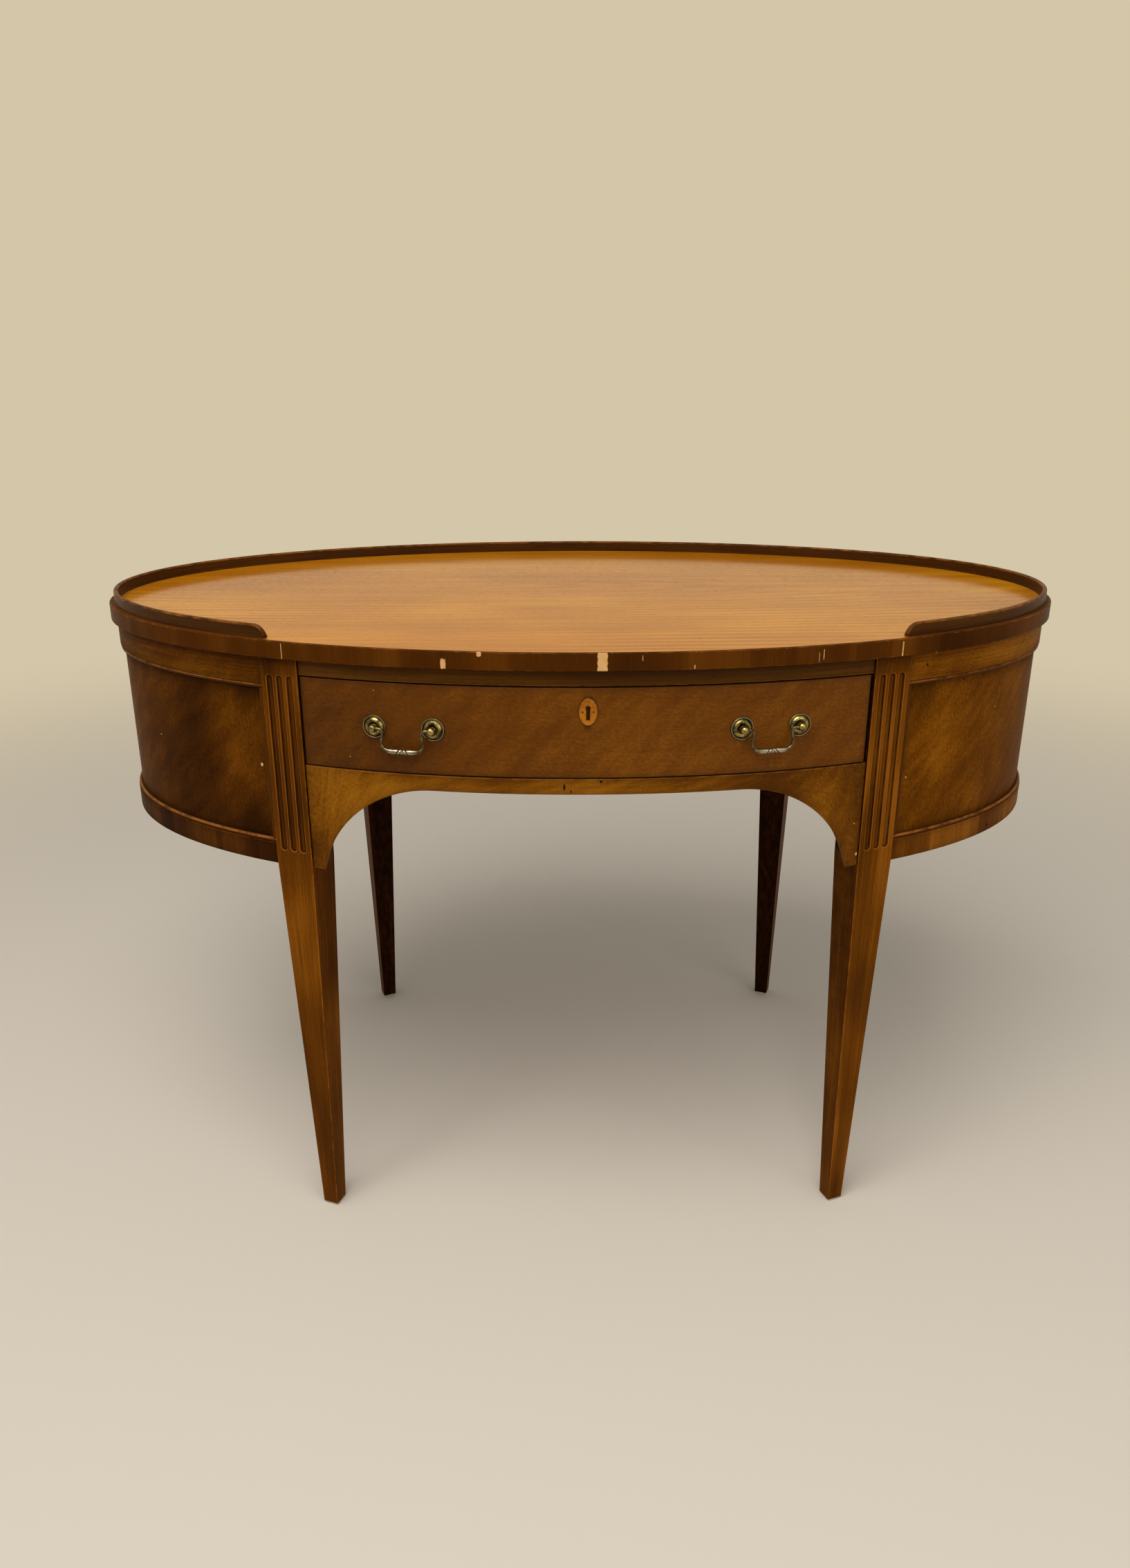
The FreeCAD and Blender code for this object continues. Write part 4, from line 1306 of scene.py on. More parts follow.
@dataclass
class FlutedLegs:
    """Four legs: a fluted square pilaster above, a square taper below, and a pad under the foot.

    The faces towards the kneehole are darkened with painted shade; the front right leg's is given by the
    case and lower down.
    """

    foot: float = 20.5 * MM
    pad_height: float = 3 * MM
    case_bottom: float = 492 * MM
    top: float = 740 * MM
    arris: float = 0.9 * MM
    flute_pitch: float = 12.6 * MM
    flute_width: float = 8.2 * MM
    flute_depth: float = 2.6 * MM
    flute_low: float = 510 * MM
    flute_high: float = 720 * MM
    rear_shade: float = 0.75
    left_shade: float = 0.25
    right_shade: tuple[float, float] = (0.65, 0.35)
    hidden_shade: float = 0.95

    def build(self) -> None:
        """Make the legs and their pads."""
        corners = {"front_left": (-1, -1), "front_right": (1, -1),
                   "rear_left": (-1, 1), "rear_right": (1, 1)}
        for index, (corner, (side_x, side_y)) in enumerate(corners.items()):
            node = "leg_" + corner
            wood = LEG_WOOD if side_y < 0 else REAR_LEG_WOOD
            place("fluted_" + node, [self.leg(side_x, side_y, 0.8 * index)], "frame", [node], wood)
        pads = [self.pad(side_x, side_y) for side_x, side_y in corners.values()]
        place("foot_pads", pads, "frame", ["foot_glides"], FOOT_PAD)

    def ring(self) -> tuple[Array, Array, Array, Array]:
        """Square ring as places on the unit square plus unit offsets at its rounded corners.

        Returns:
            Places along x and y, then offsets along x and y.
        """
        arc = np.linspace(0, np.pi / 2, CORNER_POINTS)
        bend = np.ones(CORNER_POINTS)
        steps = np.array([0.0, 0.3, 0.55, 0.7, 0.85, 0.96, 1.02, 1.08, 1.25])
        across = np.concatenate([-steps[:0:-1], steps]) * self.flute_width / 2
        lanes = np.concatenate([across - self.flute_pitch, across, across + self.flute_pitch])
        half = LEGS.width / 2 - self.arris
        front = np.concatenate([[-0.985, -0.93], np.unique(np.round(lanes / half, 6)), [0.93, 0.985]])
        side = np.array([-0.98, -0.5, 0.0, 0.5, 0.98])
        ones, flat = np.ones(len(side)), np.ones(len(front))
        at_x = [-bend, front, bend, ones, bend, -side, -bend, -ones]
        at_y = [-bend, -flat, -bend, side, bend, ones, bend, -side]
        off_x = [-np.cos(arc), 0 * flat, np.sin(arc), ones, np.cos(arc), 0 * ones, -np.sin(arc), -ones]
        off_y = [-np.sin(arc), -flat, -np.cos(arc), 0 * ones, np.sin(arc), ones, np.cos(arc), 0 * ones]
        joined = [np.concatenate(part) for part in (at_x, at_y, off_x, off_y)]
        return joined[0], joined[1], joined[2], joined[3]

    def leg(self, side_x: int, side_y: int, shift: float) -> Shell:
        """Leg whose half width grows straight from foot to case; each flute is a circular hollow.

        Arrises are worn. Painted shade lies in the flutes, under the top and where rails meet the leg, and
        faces towards the kneehole are darkened with painted shade.

        Args:
            side_x: -1 for a left leg, 1 for a right one.
            side_y: -1 for a front leg, 1 for a rear one.
            shift: Metres that the grain is moved along.

        Returns:
            The skin, facing outwards.
        """
        fine = np.arange(-2.0, 7.0, 0.7) * MM
        height = np.unique(np.concatenate([
            [self.pad_height, self.pad_height + 1 * MM], np.linspace(12 * MM, self.case_bottom, 30),
            self.flute_low + fine, self.flute_high - fine, np.linspace(520 * MM, 710 * MM, 14),
            [self.top - 2 * MM, self.top],
        ]))[:, None]
        at_x, at_y, off_x, off_y = self.ring()
        share = np.clip((height - self.pad_height) / (self.case_bottom - self.pad_height), 0.0, 1.0)
        half = (self.foot + (LEGS.width - self.foot) * share) / 2
        x = at_x * (half - self.arris) + off_x * self.arris
        y = at_y * (half - self.arris) + off_y * self.arris
        hollow, rim, shade = self.flutes(x, height)
        face = (off_y < -0.999) & (np.abs(at_x) < 0.9)
        y = y + hollow * face
        run = np.hypot(np.diff(np.append(x[-1], x[-1, 0])), np.diff(np.append(y[0], y[0, 0])))
        around = running(run)
        corner = (np.abs(off_x * off_y) > 1e-6) | ((np.abs(at_x) > 0.999) & (np.abs(at_y) > 0.999))
        wear = np.maximum(corner[None, :] * 1.0, rim * face * 1.9)
        points = LEGS.stand(x, y, height, side_x, side_y)
        inner = (off_x < -0.9) & (np.abs(off_y) < 0.1)
        upper = smooth_step(height, self.case_bottom - 6 * MM, self.case_bottom + 14 * MM)
        # A faint even darkening of the front face, rising to a painted shadow under the top.
        under_top = 0.06 + 0.42 * smooth_step(height, 716 * MM, 728 * MM)
        grime = np.maximum(shade * face, under_top * (off_y < -0.9))
        # Painted shade on faces towards the kneehole; on the front right leg it is darkest at the case and
        # fades down.
        if side_y > 0:
            shaded = self.rear_shade * ((off_x < -0.5) | (off_y > 0.5)) + 0 * height
        elif side_x < 0:
            shaded = self.left_shade * inner + 0 * height
        else:
            near, far = self.right_shade
            fading = smooth_step(self.case_bottom - height, 20 * MM, 330 * MM)
            shaded = (near + (far - near) * fading) * inner
        # Painted shade on the inner face beside the case, which shows in the drawer's gap, from the case
        # bottom up.
        grime = np.maximum(np.maximum(grime, self.hidden_shade * inner) * upper, shaded)
        return loft(points, height[:, 0] + shift, around, {"wear": wear * (1 - shaded), "grime": grime})

    def flutes(self, x: Array, height: Array) -> tuple[Array, Array, Array]:
        """Depth of the flutes, wear along their rims and painted shade just inside them.

        With r the distance to the nearest flute's line and R the hollow's radius, the depth is the root of
        R squared less r squared, less R, plus the flute's depth, where that is above zero.

        Args:
            x: Places across the face.
            height: Heights, as a column.

        Returns:
            Depth in metres, wear and painted shade.
        """
        reach = self.flute_width / 2
        lane = x - np.clip(np.round(x / self.flute_pitch), -1, 1) * self.flute_pitch
        past = height - np.clip(height, self.flute_low + reach, self.flute_high - reach)
        away = np.hypot(lane, past)
        radius = (reach ** 2 + self.flute_depth ** 2) / (2 * self.flute_depth)
        inside = np.clip(radius ** 2 - away ** 2, 0.0, None)
        hollow = np.where(away < reach, np.sqrt(inside) - radius + self.flute_depth, 0.0)
        rim = np.exp(-((away - reach - 0.15 * MM) / (0.55 * MM)) ** 2)
        # Painted shade: a dark line just inside each rim and a darker floor.
        shade = np.exp(-((away - 0.7 * reach) / (0.8 * MM)) ** 2) + (away < 0.55 * reach) * 0.3
        return np.clip(hollow, 0.0, None), rim, shade

    def pad(self, side_x: int, side_y: int) -> Shell:
        """Square pad with softened corners: a superellipse of power eight carried up five rings.

        Args:
            side_x: -1 for a left leg, 1 for a right one.
            side_y: -1 for a front leg, 1 for a rear one.

        Returns:
            The skin, facing outwards.
        """
        turn = circle(48)
        sine, cosine = np.sin(turn), np.cos(turn)
        radius = (np.abs(sine) ** 8 + np.abs(cosine) ** 8) ** (-1 / 8)
        half = np.array([8.7, 9.3, 9.45, 9.45, 9.0])[:, None] * MM
        height = np.array([0.0, 0.3, 0.8, 2.7, 3.0])[:, None] * MM
        points = LEGS.stand(half * radius * cosine, half * radius * sine, height, side_x, side_y)
        return loft(points, height[:, 0], ring_metres(0.075, len(turn)))


@dataclass
class Case:
    """Rails, arched aprons, back and curved ends between the legs, and the boards inside."""

    bottom: float = 492 * MM
    top: float = 740 * MM
    opening_low: float = 618 * MM
    opening_high: float = 721.5 * MM
    front_inset: float = 10 * MM
    rail_depth: float = 28 * MM
    rail_round: float = 1.0 * MM
    slot_half: float = 10 * MM
    slot_depth: float = 8.8 * MM
    slot_rows: tuple[float, ...] = (37.7 * MM, 32.7 * MM, 32.5 * MM, 23.5 * MM, 23.3 * MM)
    board: float = 18 * MM
    arch_crown: float = 600 * MM
    arch_spring: float = 300 * MM
    arch_radius: float = 133 * MM
    end_inset: float = 7 * MM
    panel_inset: float = 12 * MM
    panel_back: float = 22 * MM
    frieze_low: float = 708 * MM
    base_high: float = 518 * MM
    bead: float = 5 * MM
    bead_out: float = 4.4 * MM
    bead_round: float = 2.1 * MM
    softened: float = 0.9 * MM

    @property
    def arch_flat(self) -> float:
        """Half the straight run at the arch's crown."""
        drop = self.arch_radius - self.arch_crown + self.bottom
        return self.arch_spring - math.sqrt(self.arch_radius ** 2 - drop ** 2)

    def arch(self, x: Array) -> Array:
        """Underside of an apron: flat at the crown, then a circle that comes down to the case bottom."""
        past = np.clip(np.abs(x) - self.arch_flat, 0.0, self.arch_spring - self.arch_flat)
        return self.arch_crown - self.arch_radius + np.sqrt(self.arch_radius ** 2 - past ** 2)

    def arch_stations(self, ends: Ends, rear: bool) -> Array:
        """Shares of an apron's length: even on the flat and even in angle round each shoulder.

        Args:
            ends: Start and end angles at each inset.
            rear: Whether it is the rear apron.

        Returns:
            The shares, from 0 to 1.
        """
        steep = math.asin((self.arch_spring - self.arch_flat) / self.arch_radius)
        shoulder = self.arch_flat + self.arch_radius * np.sin(np.linspace(0, steep, 40))
        right = np.concatenate([np.linspace(0, self.arch_flat, 60), shoulder, [self.arch_spring + 0.3 * MM]])
        x = np.unique(np.concatenate([-right, right]))
        angle = OVAL.front_angle(x, self.front_inset)
        start, end = ends(np.array([self.front_inset]))
        if rear:
            angle = -angle[::-1]
        share = (angle - start) / (end - start)
        return np.concatenate([[0.0], share[(share > 0.001) & (share < 0.999)], [1.0]])

    def build(self) -> None:
        """Make the rails and ends, and dress the boards inside."""
        small = self.softened
        even = np.linspace(0, 1, 150)
        inner = self.front_inset + self.board
        front, rear = LEGS.front(GLUE), LEGS.rear(GLUE)
        place("top_rail", [self.slotted_rail(front)], "frame", ["front_top_rail"], RAIL_WOOD)
        apron = box_section(self.front_inset, inner, 60 * MM, (small, small, FINE_ROUND, FINE_ROUND))
        steps = self.arch_stations(front, False), self.arch_stations(rear, True)
        place("arched_apron", [strip_shell(apron, front, self.arch, self.opening_low, steps[0], 0.4)],
              "frame", ["front_apron"], APRON_VENEER)
        place("arched_rear_apron", [strip_shell(apron, rear, self.arch, self.opening_low, steps[1], 0.4)],
              "frame", ["rear_apron"], BACK_VENEER)
        panel = box_section(self.front_inset, inner, self.top - self.opening_low, (FINE_ROUND,) * 4)
        place("bowed_back", [strip_shell(panel, rear, self.opening_low, self.top, even, 0.5)],
              "frame", ["back_panel"], BACK_VENEER)
        for name, side in SIDES:
            self.curved_end(name, side)
        self.inner_boards()

    def slotted_rail(self, ends: Ends) -> Shell:
        """Top rail with a slot above the lock bolt: of its underside's rows, two go up where the slot is.

        Args:
            ends: Start and end angles at each inset.

        Returns:
            The rail's skin.
        """
        inner = self.front_inset + self.rail_depth
        rounds = (self.rail_round,) + (FINE_ROUND,) * 3
        rail = box_section(self.front_inset, inner, self.top - self.opening_high, rounds)
        rail.inset[-5:] = self.slot_rows
        rail.lift[-5:] = 0.0
        start, end = ends(rail.inset[:1])
        walls = self.slot_half + WALL_STEP
        middle = OVAL.front_angle(np.concatenate([-walls, walls]), self.front_inset)
        stations = np.unique(np.concatenate([np.linspace(0, 1, 150), (middle - start) / (end - start)]))
        angle, inset, height = strip(rail, ends, self.opening_high, self.top, stations)
        at_slot = np.abs(OVAL.points(angle, inset, height)[:, :1, 0]) < self.slot_half
        height[:, -3:-1] += self.slot_depth * at_slot
        return strip_skin(OVAL.points(angle, inset, height), rail, 0.5)

    def curved_end(self, name: str, side: int) -> None:
        """Panel, frieze, base rail and beads of one end.

        Args:
            name: The end's name, left or right.
            side: -1 for the left, 1 for the right.
        """
        ends = LEGS.side(side, GLUE)
        even = np.linspace(0, 1, 140)
        seat = self.panel_inset - GLUE
        soft = self.softened
        glued = (0.2 * MM,) * 2
        rows = np.linspace(0.03, 0.97, 30)
        tall = self.top - self.bottom
        panel = box_section(self.panel_inset, self.panel_back, tall, (FINE_ROUND,) * 4, rows)
        darkened_panel = self.panel_dirt_and_shade(strip_shell(panel, ends, self.bottom, self.top, even))
        place("curved_panel_" + name, [darkened_panel],
              "frame", ["end_panel_" + name], PANEL_LEFT if side < 0 else PANEL_RIGHT)
        frieze = box_section(self.end_inset, seat, self.top - self.frieze_low, (soft, FINE_ROUND) + glued)
        place("frieze_" + name, [strip_shell(frieze, ends, self.frieze_low, self.top, even, 0.5)],
              "frame", ["end_frieze_" + name], FRIEZE_LEFT if side < 0 else FRIEZE_RIGHT)
        base = box_section(self.end_inset, seat, self.base_high - self.bottom, (soft, soft) + glued)
        place("base_rail_" + name, [strip_shell(base, ends, self.bottom, self.base_high, even, 0.5)],
              "frame", ["end_base_rail_" + name], BASE_LEFT if side < 0 else BASE_RIGHT)
        bead = box_section(self.panel_inset - self.bead_out, seat, self.bead, (self.bead_round,) * 2 + glued,
                           np.array([0.5]), (0.3, 1.15, 0, 0))
        lower = (self.base_high, self.base_high + self.bead)
        upper = (self.frieze_low - self.bead, self.frieze_low)
        beads = [strip_shell(bead, ends, *span, even) for span in (lower, upper)]
        beads += [self.upright_bead(side, rear, lower[1], upper[0]) for rear in (-1, 1)]
        place("beads_" + name, beads, "frame", ["panel_beads_" + name], BEAD_WOOD)

    def panel_dirt_and_shade(self, panel: Shell) -> Shell:
        """A curved panel darkened against the beads that frame it, with dirt and painted shade.

        Args:
            panel: The panel's skin.

        Returns:
            The same skin.
        """
        height = panel.points[:, 2]
        rim = np.minimum(height - self.base_high - self.bead, self.frieze_low - self.bead - height)
        # Dirt and painted shade, darkest against the beads and fading over about 7 mm.
        panel.marks["grime"] = 0.75 * np.exp(-np.clip(rim, 0.0, None) / (7 * MM))
        return panel

    def upright_bead(self, side: int, rear: int, low: float, high: float) -> Shell:
        """Upright half-round strip against a leg: a rounded outline in plan carried straight up.

        Args:
            side: -1 for the left, 1 for the right.
            rear: -1 at the front leg, 1 at the rear one.
            low: Lower end.
            high: Upper end.

        Returns:
            The skin, facing outwards.
        """
        arc = np.linspace(0, np.pi, 11)
        across = np.concatenate([[0.0, 0.0], (1 - np.cos(arc)) / 2, [1.0, 1.0]])
        out = np.concatenate([[0.0, 0.45], 0.5 + 0.5 * np.sin(arc), [0.45, 0.0]])
        near = LEGS.meets(self.panel_inset - out * self.bead_out, LEGS.width / 2 + GLUE)
        far = LEGS.meets(self.panel_inset - out * self.bead_out, LEGS.width / 2 + GLUE + self.bead)
        angle = near + (far - near) * across
        plan = OVAL.points(angle, self.panel_inset - GLUE - out * (self.bead_out - GLUE), 0.0)
        height = np.array([low, (low + high) / 2, high])[:, None]
        points = join(side * plan[:, 0], -rear * plan[:, 1], height)
        return loft(points, height[:, 0], ring_metres(0.016, len(out)), {"wear": (out > 0.9) * 0.4})

    @staticmethod
    def inner_boards() -> None:
        """Dress the boards, blocks and screws that stay as the frame has them."""
        boards = ("kneehole_wall_", "drawer_runner_", "drawer_kicker_", "end_floor_")
        dress([board + side for board in boards for side in ("left", "right")], KNEEHOLE_WOOD)
        dress(["front_bearer", "drawer_stops", "glue_blocks"], KNEEHOLE_WOOD)
        dress(["top_screws"], STEEL)


@dataclass
class Drawer:
    """Bowed drawer front with its box, inlaid escutcheon and lock.

    The key plate has half its width and height, and the well behind it has a depth as well. The lock's rows
    are insets and their lifts are heights.
    """

    low: float = 619.5 * MM
    high: float = 719.9 * MM
    front_inset: float = 10 * MM
    thick: float = 22 * MM
    left_gap: float = 1.4 * MM
    right_gap: float = 3.2 * MM
    softened: float = 0.8 * MM
    key_z: float = 693.8 * MM
    plate_half: tuple[float, float] = (10 * MM, 15 * MM)
    plate_proud: float = 0.6 * MM
    lock_half: float = 29 * MM
    lock_low: float = 675.7 * MM
    lock_rows: tuple[float, ...] = (22.3 * MM, 22.5 * MM, 22.5 * MM, 22.7 * MM, 31.8 * MM, 32.0 * MM)
    lock_lifts: tuple[float, ...] = (0.0, -0.2 * MM, 0.2 * MM, 0.0, 0.0, -0.2 * MM)
    well: tuple[float, float, float] = (8.4 * MM, 13.2 * MM, 7 * MM)
    key_radius: float = 2.6 * MM
    key_rise: float = 4 * MM
    key_half: float = 2 * MM
    key_drop: float = 9 * MM
    pin_offset: float = 5.6 * MM
    pin_radius: float = 0.9 * MM

    @property
    def face_y(self) -> float:
        """Y of the front at its middle."""
        return self.front_inset - OVAL.half_depth

    def build(self) -> None:
        """Make the front and its escutcheon, and dress the box and the lock."""
        place("bowed_front", [self.front()], "drawer", ["drawer_front"], DRAWER_VENEER)
        place("key_plate", [self.key_plate()], "drawer", ["escutcheon"], BOXWOOD)
        pins = [self.pin(side) for side in (-1, 1)]
        place("key_plate_pins", pins, "drawer", ["escutcheon_pins"], PIN_STEEL)
        dress(["drawer_side_left", "drawer_side_right"], DRAWER_BOX_Y)
        dress(["drawer_back", "drawer_bottom"], DRAWER_BOX_X)
        dress(["lock_case", "lock_bolt"], LOCK_BRASS)
        dress(["lock_screws"], STEEL)

    def front(self) -> Shell:
        """Board carried along the oval, with an oval well behind the key plate and a recess for the lock.

        The face goes in by the well's depth inside an ellipse. At the lock, the six rows round the inner top
        corner step down to the recess's floor instead.

        Returns:
            The skin, facing outwards.
        """
        tall = self.high - self.low
        fine = (self.key_z - self.low + np.linspace(-15, 15, 44) * MM) / tall
        fine = fine[(fine > 0.05) & (fine < 0.95)]
        rows = np.unique(np.round(np.concatenate([np.linspace(0.06, 0.94, 9), fine]), 5))
        section = box_section(self.front_inset, self.front_inset + self.thick, tall,
                              (self.softened,) * 2 + (FINE_ROUND,) * 2, rows)
        start, end = self.ends(np.array([self.front_inset]))
        walls = self.lock_half + WALL_STEP
        across = np.concatenate([-walls, np.linspace(-11, 11, 45) * MM, walls])
        middle = OVAL.front_angle(across, self.front_inset)
        edges = [0.0015, 0.004, 0.996, 0.9985]
        shares = [np.linspace(0, 1, 140), edges, (middle - start) / (end - start)]
        stations = np.unique(np.concatenate(shares))
        angle, inset, height = strip(section, self.ends, self.low, self.high, stations)
        flat = OVAL.points(angle, inset, height)
        stepped_inset, stepped_height = inset.copy(), height.copy()
        corner = slice(-14, -8)
        stepped_inset[:, corner] = self.lock_rows
        stepped_height[:, corner] = np.repeat([self.high, self.lock_low], [2, 4]) + self.lock_lifts
        at_lock = np.abs(flat[:, :1, 0]) < self.lock_half
        inset = np.where(at_lock, stepped_inset, inset)
        height = np.where(at_lock, stepped_height, height)
        away = np.hypot(flat[..., 0] / self.well[0], (height - self.key_z) / self.well[1])
        on_face = np.abs(section.inset - self.front_inset) < 1e-9
        points = OVAL.points(angle, inset + self.well[2] * (away < 1) * on_face, height)
        # A dark ring round the key plate is a painted shadow; the front's borders get dirt and painted shade
        # at the gaps.
        ring = np.hypot(flat[..., 0] / self.plate_half[0], (height - self.key_z) / self.plate_half[1])
        dirt_and_shade = np.maximum(np.exp(-((ring - 1.0) / 0.09) ** 2) * on_face, 0.8 * border_dirt_and_shade(points, 2 * MM))
        return loft(points, path_metres(points), section.around,
                    {"wear": np.broadcast_to(section.wear, angle.shape), "grime": dirt_and_shade})

    def ends(self, inset: Array) -> tuple[Array, Array]:
        """Left and right angles of the front, which sits a little to the left."""
        return LEGS.front(self.left_gap)(inset)[0], LEGS.front(self.right_gap)(inset)[1]

    def key_outline(self, turn: Array) -> Array:
        """Reach of the keyhole from its middle, at an angle from upright.

        Within the round head's view it is the far crossing of a circle set above the middle; elsewhere it
        is the nearer of the slot's side and its foot.

        Args:
            turn: Angles from upright.

        Returns:
            The reach at each angle.
        """
        sine, cosine = np.sin(turn), np.cos(turn)
        seen = (cosine > 0) & (np.abs(sine) < self.key_radius / self.key_rise * 0.995)
        under = np.clip(self.key_radius ** 2 - (self.key_rise * sine) ** 2, 0.0, None)
        head = self.key_rise * cosine + np.sqrt(under)
        side = self.key_half / np.maximum(np.abs(sine), 1e-6)
        foot = np.where(cosine < 0, self.key_drop / np.maximum(-cosine, 1e-6), np.inf)
        return np.where(seen, head, np.minimum(side, foot))

    def key_plate(self) -> Shell:
        """Oval plate with a keyhole: rings run from its back over rim and face, then back through the hole.

        Returns:
            The skin, facing outwards.
        """
        turn = circle(144)
        hole = self.key_outline(turn)
        hole_x, hole_z = hole * np.sin(turn), hole * np.cos(turn)
        rim_x, rim_z = self.plate_half[0] * np.sin(turn), self.plate_half[1] * np.cos(turn)
        share = np.array([0.0, 0.0, 0.03, 0.1, 0.45, 0.8, 0.95, 1.0, 1.0])[:, None]
        proud = np.array([-1.6, 0.25, 0.52, 0.6, 0.6, 0.6, 0.6, 0.45, -1.6])[:, None] * MM
        x = rim_x + (hole_x - rim_x) * share
        z = self.key_z + rim_z + (hole_z - rim_z) * share
        points = join(x, self.face_y - proud, z)
        # Dark rim and side, partly the plate's own dark edge, partly painted shade in its well; painted
        # shade in the keyhole.
        dirt_and_shade = np.broadcast_to(np.array([0.8, 0.9, 0.45, 0.12, 0.0, 0.0, 0.3, 0.8, 1.0])[:, None], x.shape)
        along, around = ring_metres(0.02, len(share)), ring_metres(0.08, len(turn))
        return loft(points, along, around, {"grime": dirt_and_shade}, closed=True)

    def pin(self, side: int) -> Shell:
        """Small domed pin head: rings that shrink as a quarter sine.

        Args:
            side: -1 for the left, 1 for the right.

        Returns:
            The skin, facing outwards.
        """
        turn = circle(20)
        arc = np.linspace(0.06, np.pi / 2, 5)
        radius = np.concatenate([self.pin_radius * np.sin(arc), [self.pin_radius]])[:, None]
        proud = np.concatenate([self.plate_proud + 0.35 * MM * np.cos(arc), [0.0]])[:, None]
        x = side * self.pin_offset + radius * np.cos(turn)
        z = self.key_z + radius * np.sin(turn)
        points = join(x, self.face_y - proud, z)
        return loft(points, np.linspace(0, 0.002, len(radius)), ring_metres(0.006, len(turn)))


@dataclass
class Handles:
    """Two bail handles, each on two turned rosettes with ball posts.

    The rosette's profile gives radius, height and dirt, or wear below zero; the bail's thickness gives
    millimetres from the middle of the grip and the wire's radius there.
    """

    x: float = 198.5 * MM
    front_inset: float = 10 * MM
    z: float = 671.15 * MM
    spacing: float = 66 * MM
    reach: float = 8.5 * MM
    ball: float = 4.6 * MM
    bore: float = 1.81 * MM
    rosette: tuple[tuple[float, float, float], ...] = (
        (2.4, -0.6, 1.0), (7.0, -0.6, 0.0), (12.9, -0.6, 0.0), (13.0, 0.7, 0.6), (12.85, 1.5, 0.0),
        (12.45, 2.05, -1.0), (12.0, 2.1, -1.0), (11.6, 1.75, 0.2), (11.35, 1.15, 1.0), (11.0, 0.85, 1.0),
        (10.6, 1.0, 1.0), (10.2, 1.6, 0.35), (9.5, 2.6, 0.0), (8.5, 3.4, 0.0), (7.3, 3.85, 0.0),
        (6.1, 3.75, 0.0), (5.2, 3.1, 0.3), (4.6, 2.2, 0.9), (4.0, 1.8, 1.0), (2.4, 1.8, 1.0),
    )
    bail_thickness: tuple[tuple[float, float], ...] = (
        (0.0, 2.5), (4.5, 2.75), (8.0, 3.0), (13.0, 2.75),
        (19.0, 2.25), (25.0, 1.9), (32.0, 1.65), (80.0, 1.6),
    )

    def build(self) -> None:
        """Make rosettes, posts and bails, and dress the nuts."""
        posts = [(side, end * self.spacing / 2) for side in (-1, 1) for end in (-1, 1)]
        rosettes = [self.turned_rosette(side, x) for side, x in posts]
        place("rosettes", rosettes, "drawer", ["handle_rosettes"], HANDLE_BRASS)
        balls = [shell for side, x in posts for shell in (self.ball_end(side, x), self.neck(side, x))]
        place("ball_posts", balls, "drawer", ["handle_posts"], HANDLE_BRASS)
        dress(["handle_nuts"], LOCK_BRASS)
        for name, side in SIDES:
            place("swan_neck_" + name, [self.bail(side)], "bail_" + name, ["bail_" + name], BAIL_BRASS)

    def at(self, side: int, x: Array, y: Array, z: Array) -> Array:
        """Points given about a handle's middle, -Y outwards, turned and set on the drawer's face.

        Args:
            side: -1 for the left handle, 1 for the right one.
            x: Along the handle.
            y: Into the drawer.
            z: Up.

        Returns:
            The points in the desk's own frame.
        """
        turn = side * OVAL.turn(self.x, self.front_inset)
        placed_x = side * self.x + x * math.cos(turn) - y * math.sin(turn)
        placed_y = OVAL.front_y(self.x, self.front_inset) + x * math.sin(turn) + y * math.cos(turn)
        return join(placed_x, placed_y, self.z + z)

    def turned_rosette(self, side: int, x: float) -> Shell:
        """Profile of radius and height turned round the post.

        Args:
            side: -1 for the left handle, 1 for the right one.
            x: The post's place along the handle.

        Returns:
            The skin, facing outwards.
        """
        profile = np.array(self.rosette)
        turn = circle(64)[:, None]
        radius, proud = profile[:, 0] * MM, profile[:, 1] * MM
        points = self.at(side, x + radius * np.cos(turn), -proud + 0 * turn, radius * np.sin(turn))
        mark = np.broadcast_to(profile[:, 2], points.shape[:2])
        marks = {"grime": np.clip(mark, 0, 1), "wear": np.clip(-mark, 0, 1) * 0.9}
        along, around = ring_metres(0.08, len(turn)), ring_metres(0.04, len(profile))
        return loft(points, along, around, marks, closed=True)

    def ball_end(self, side: int, x: float) -> Shell:
        """Ball with a cross bore: a circle's arc and the bore's wall turned round the bail's pin.

        Args:
            side: -1 for the left handle, 1 for the right one.
            x: The post's place along the handle.

        Returns:
            The skin, facing outwards.
        """
        edge = math.acos(self.bore / self.ball)
        arc = np.linspace(-edge, edge, 25)
        across = np.concatenate([self.ball * np.sin(arc), [0.4 * self.ball, -0.4 * self.ball]])
        radius = np.concatenate([self.ball * np.cos(arc), [self.bore, self.bore]])
        turn = circle(40)[:, None]
        out = -self.reach + radius * np.cos(turn)
        points = self.at(side, x + across + 0 * turn, out, radius * np.sin(turn))
        dirt_and_shade = np.broadcast_to(np.concatenate([np.zeros(24), [0.5, 1.0, 1.0]]), points.shape[:2])
        along, around = ring_metres(0.026, len(turn)), ring_metres(0.02, len(across))
        return loft(points, along, around, {"grime": dirt_and_shade}, closed=True)

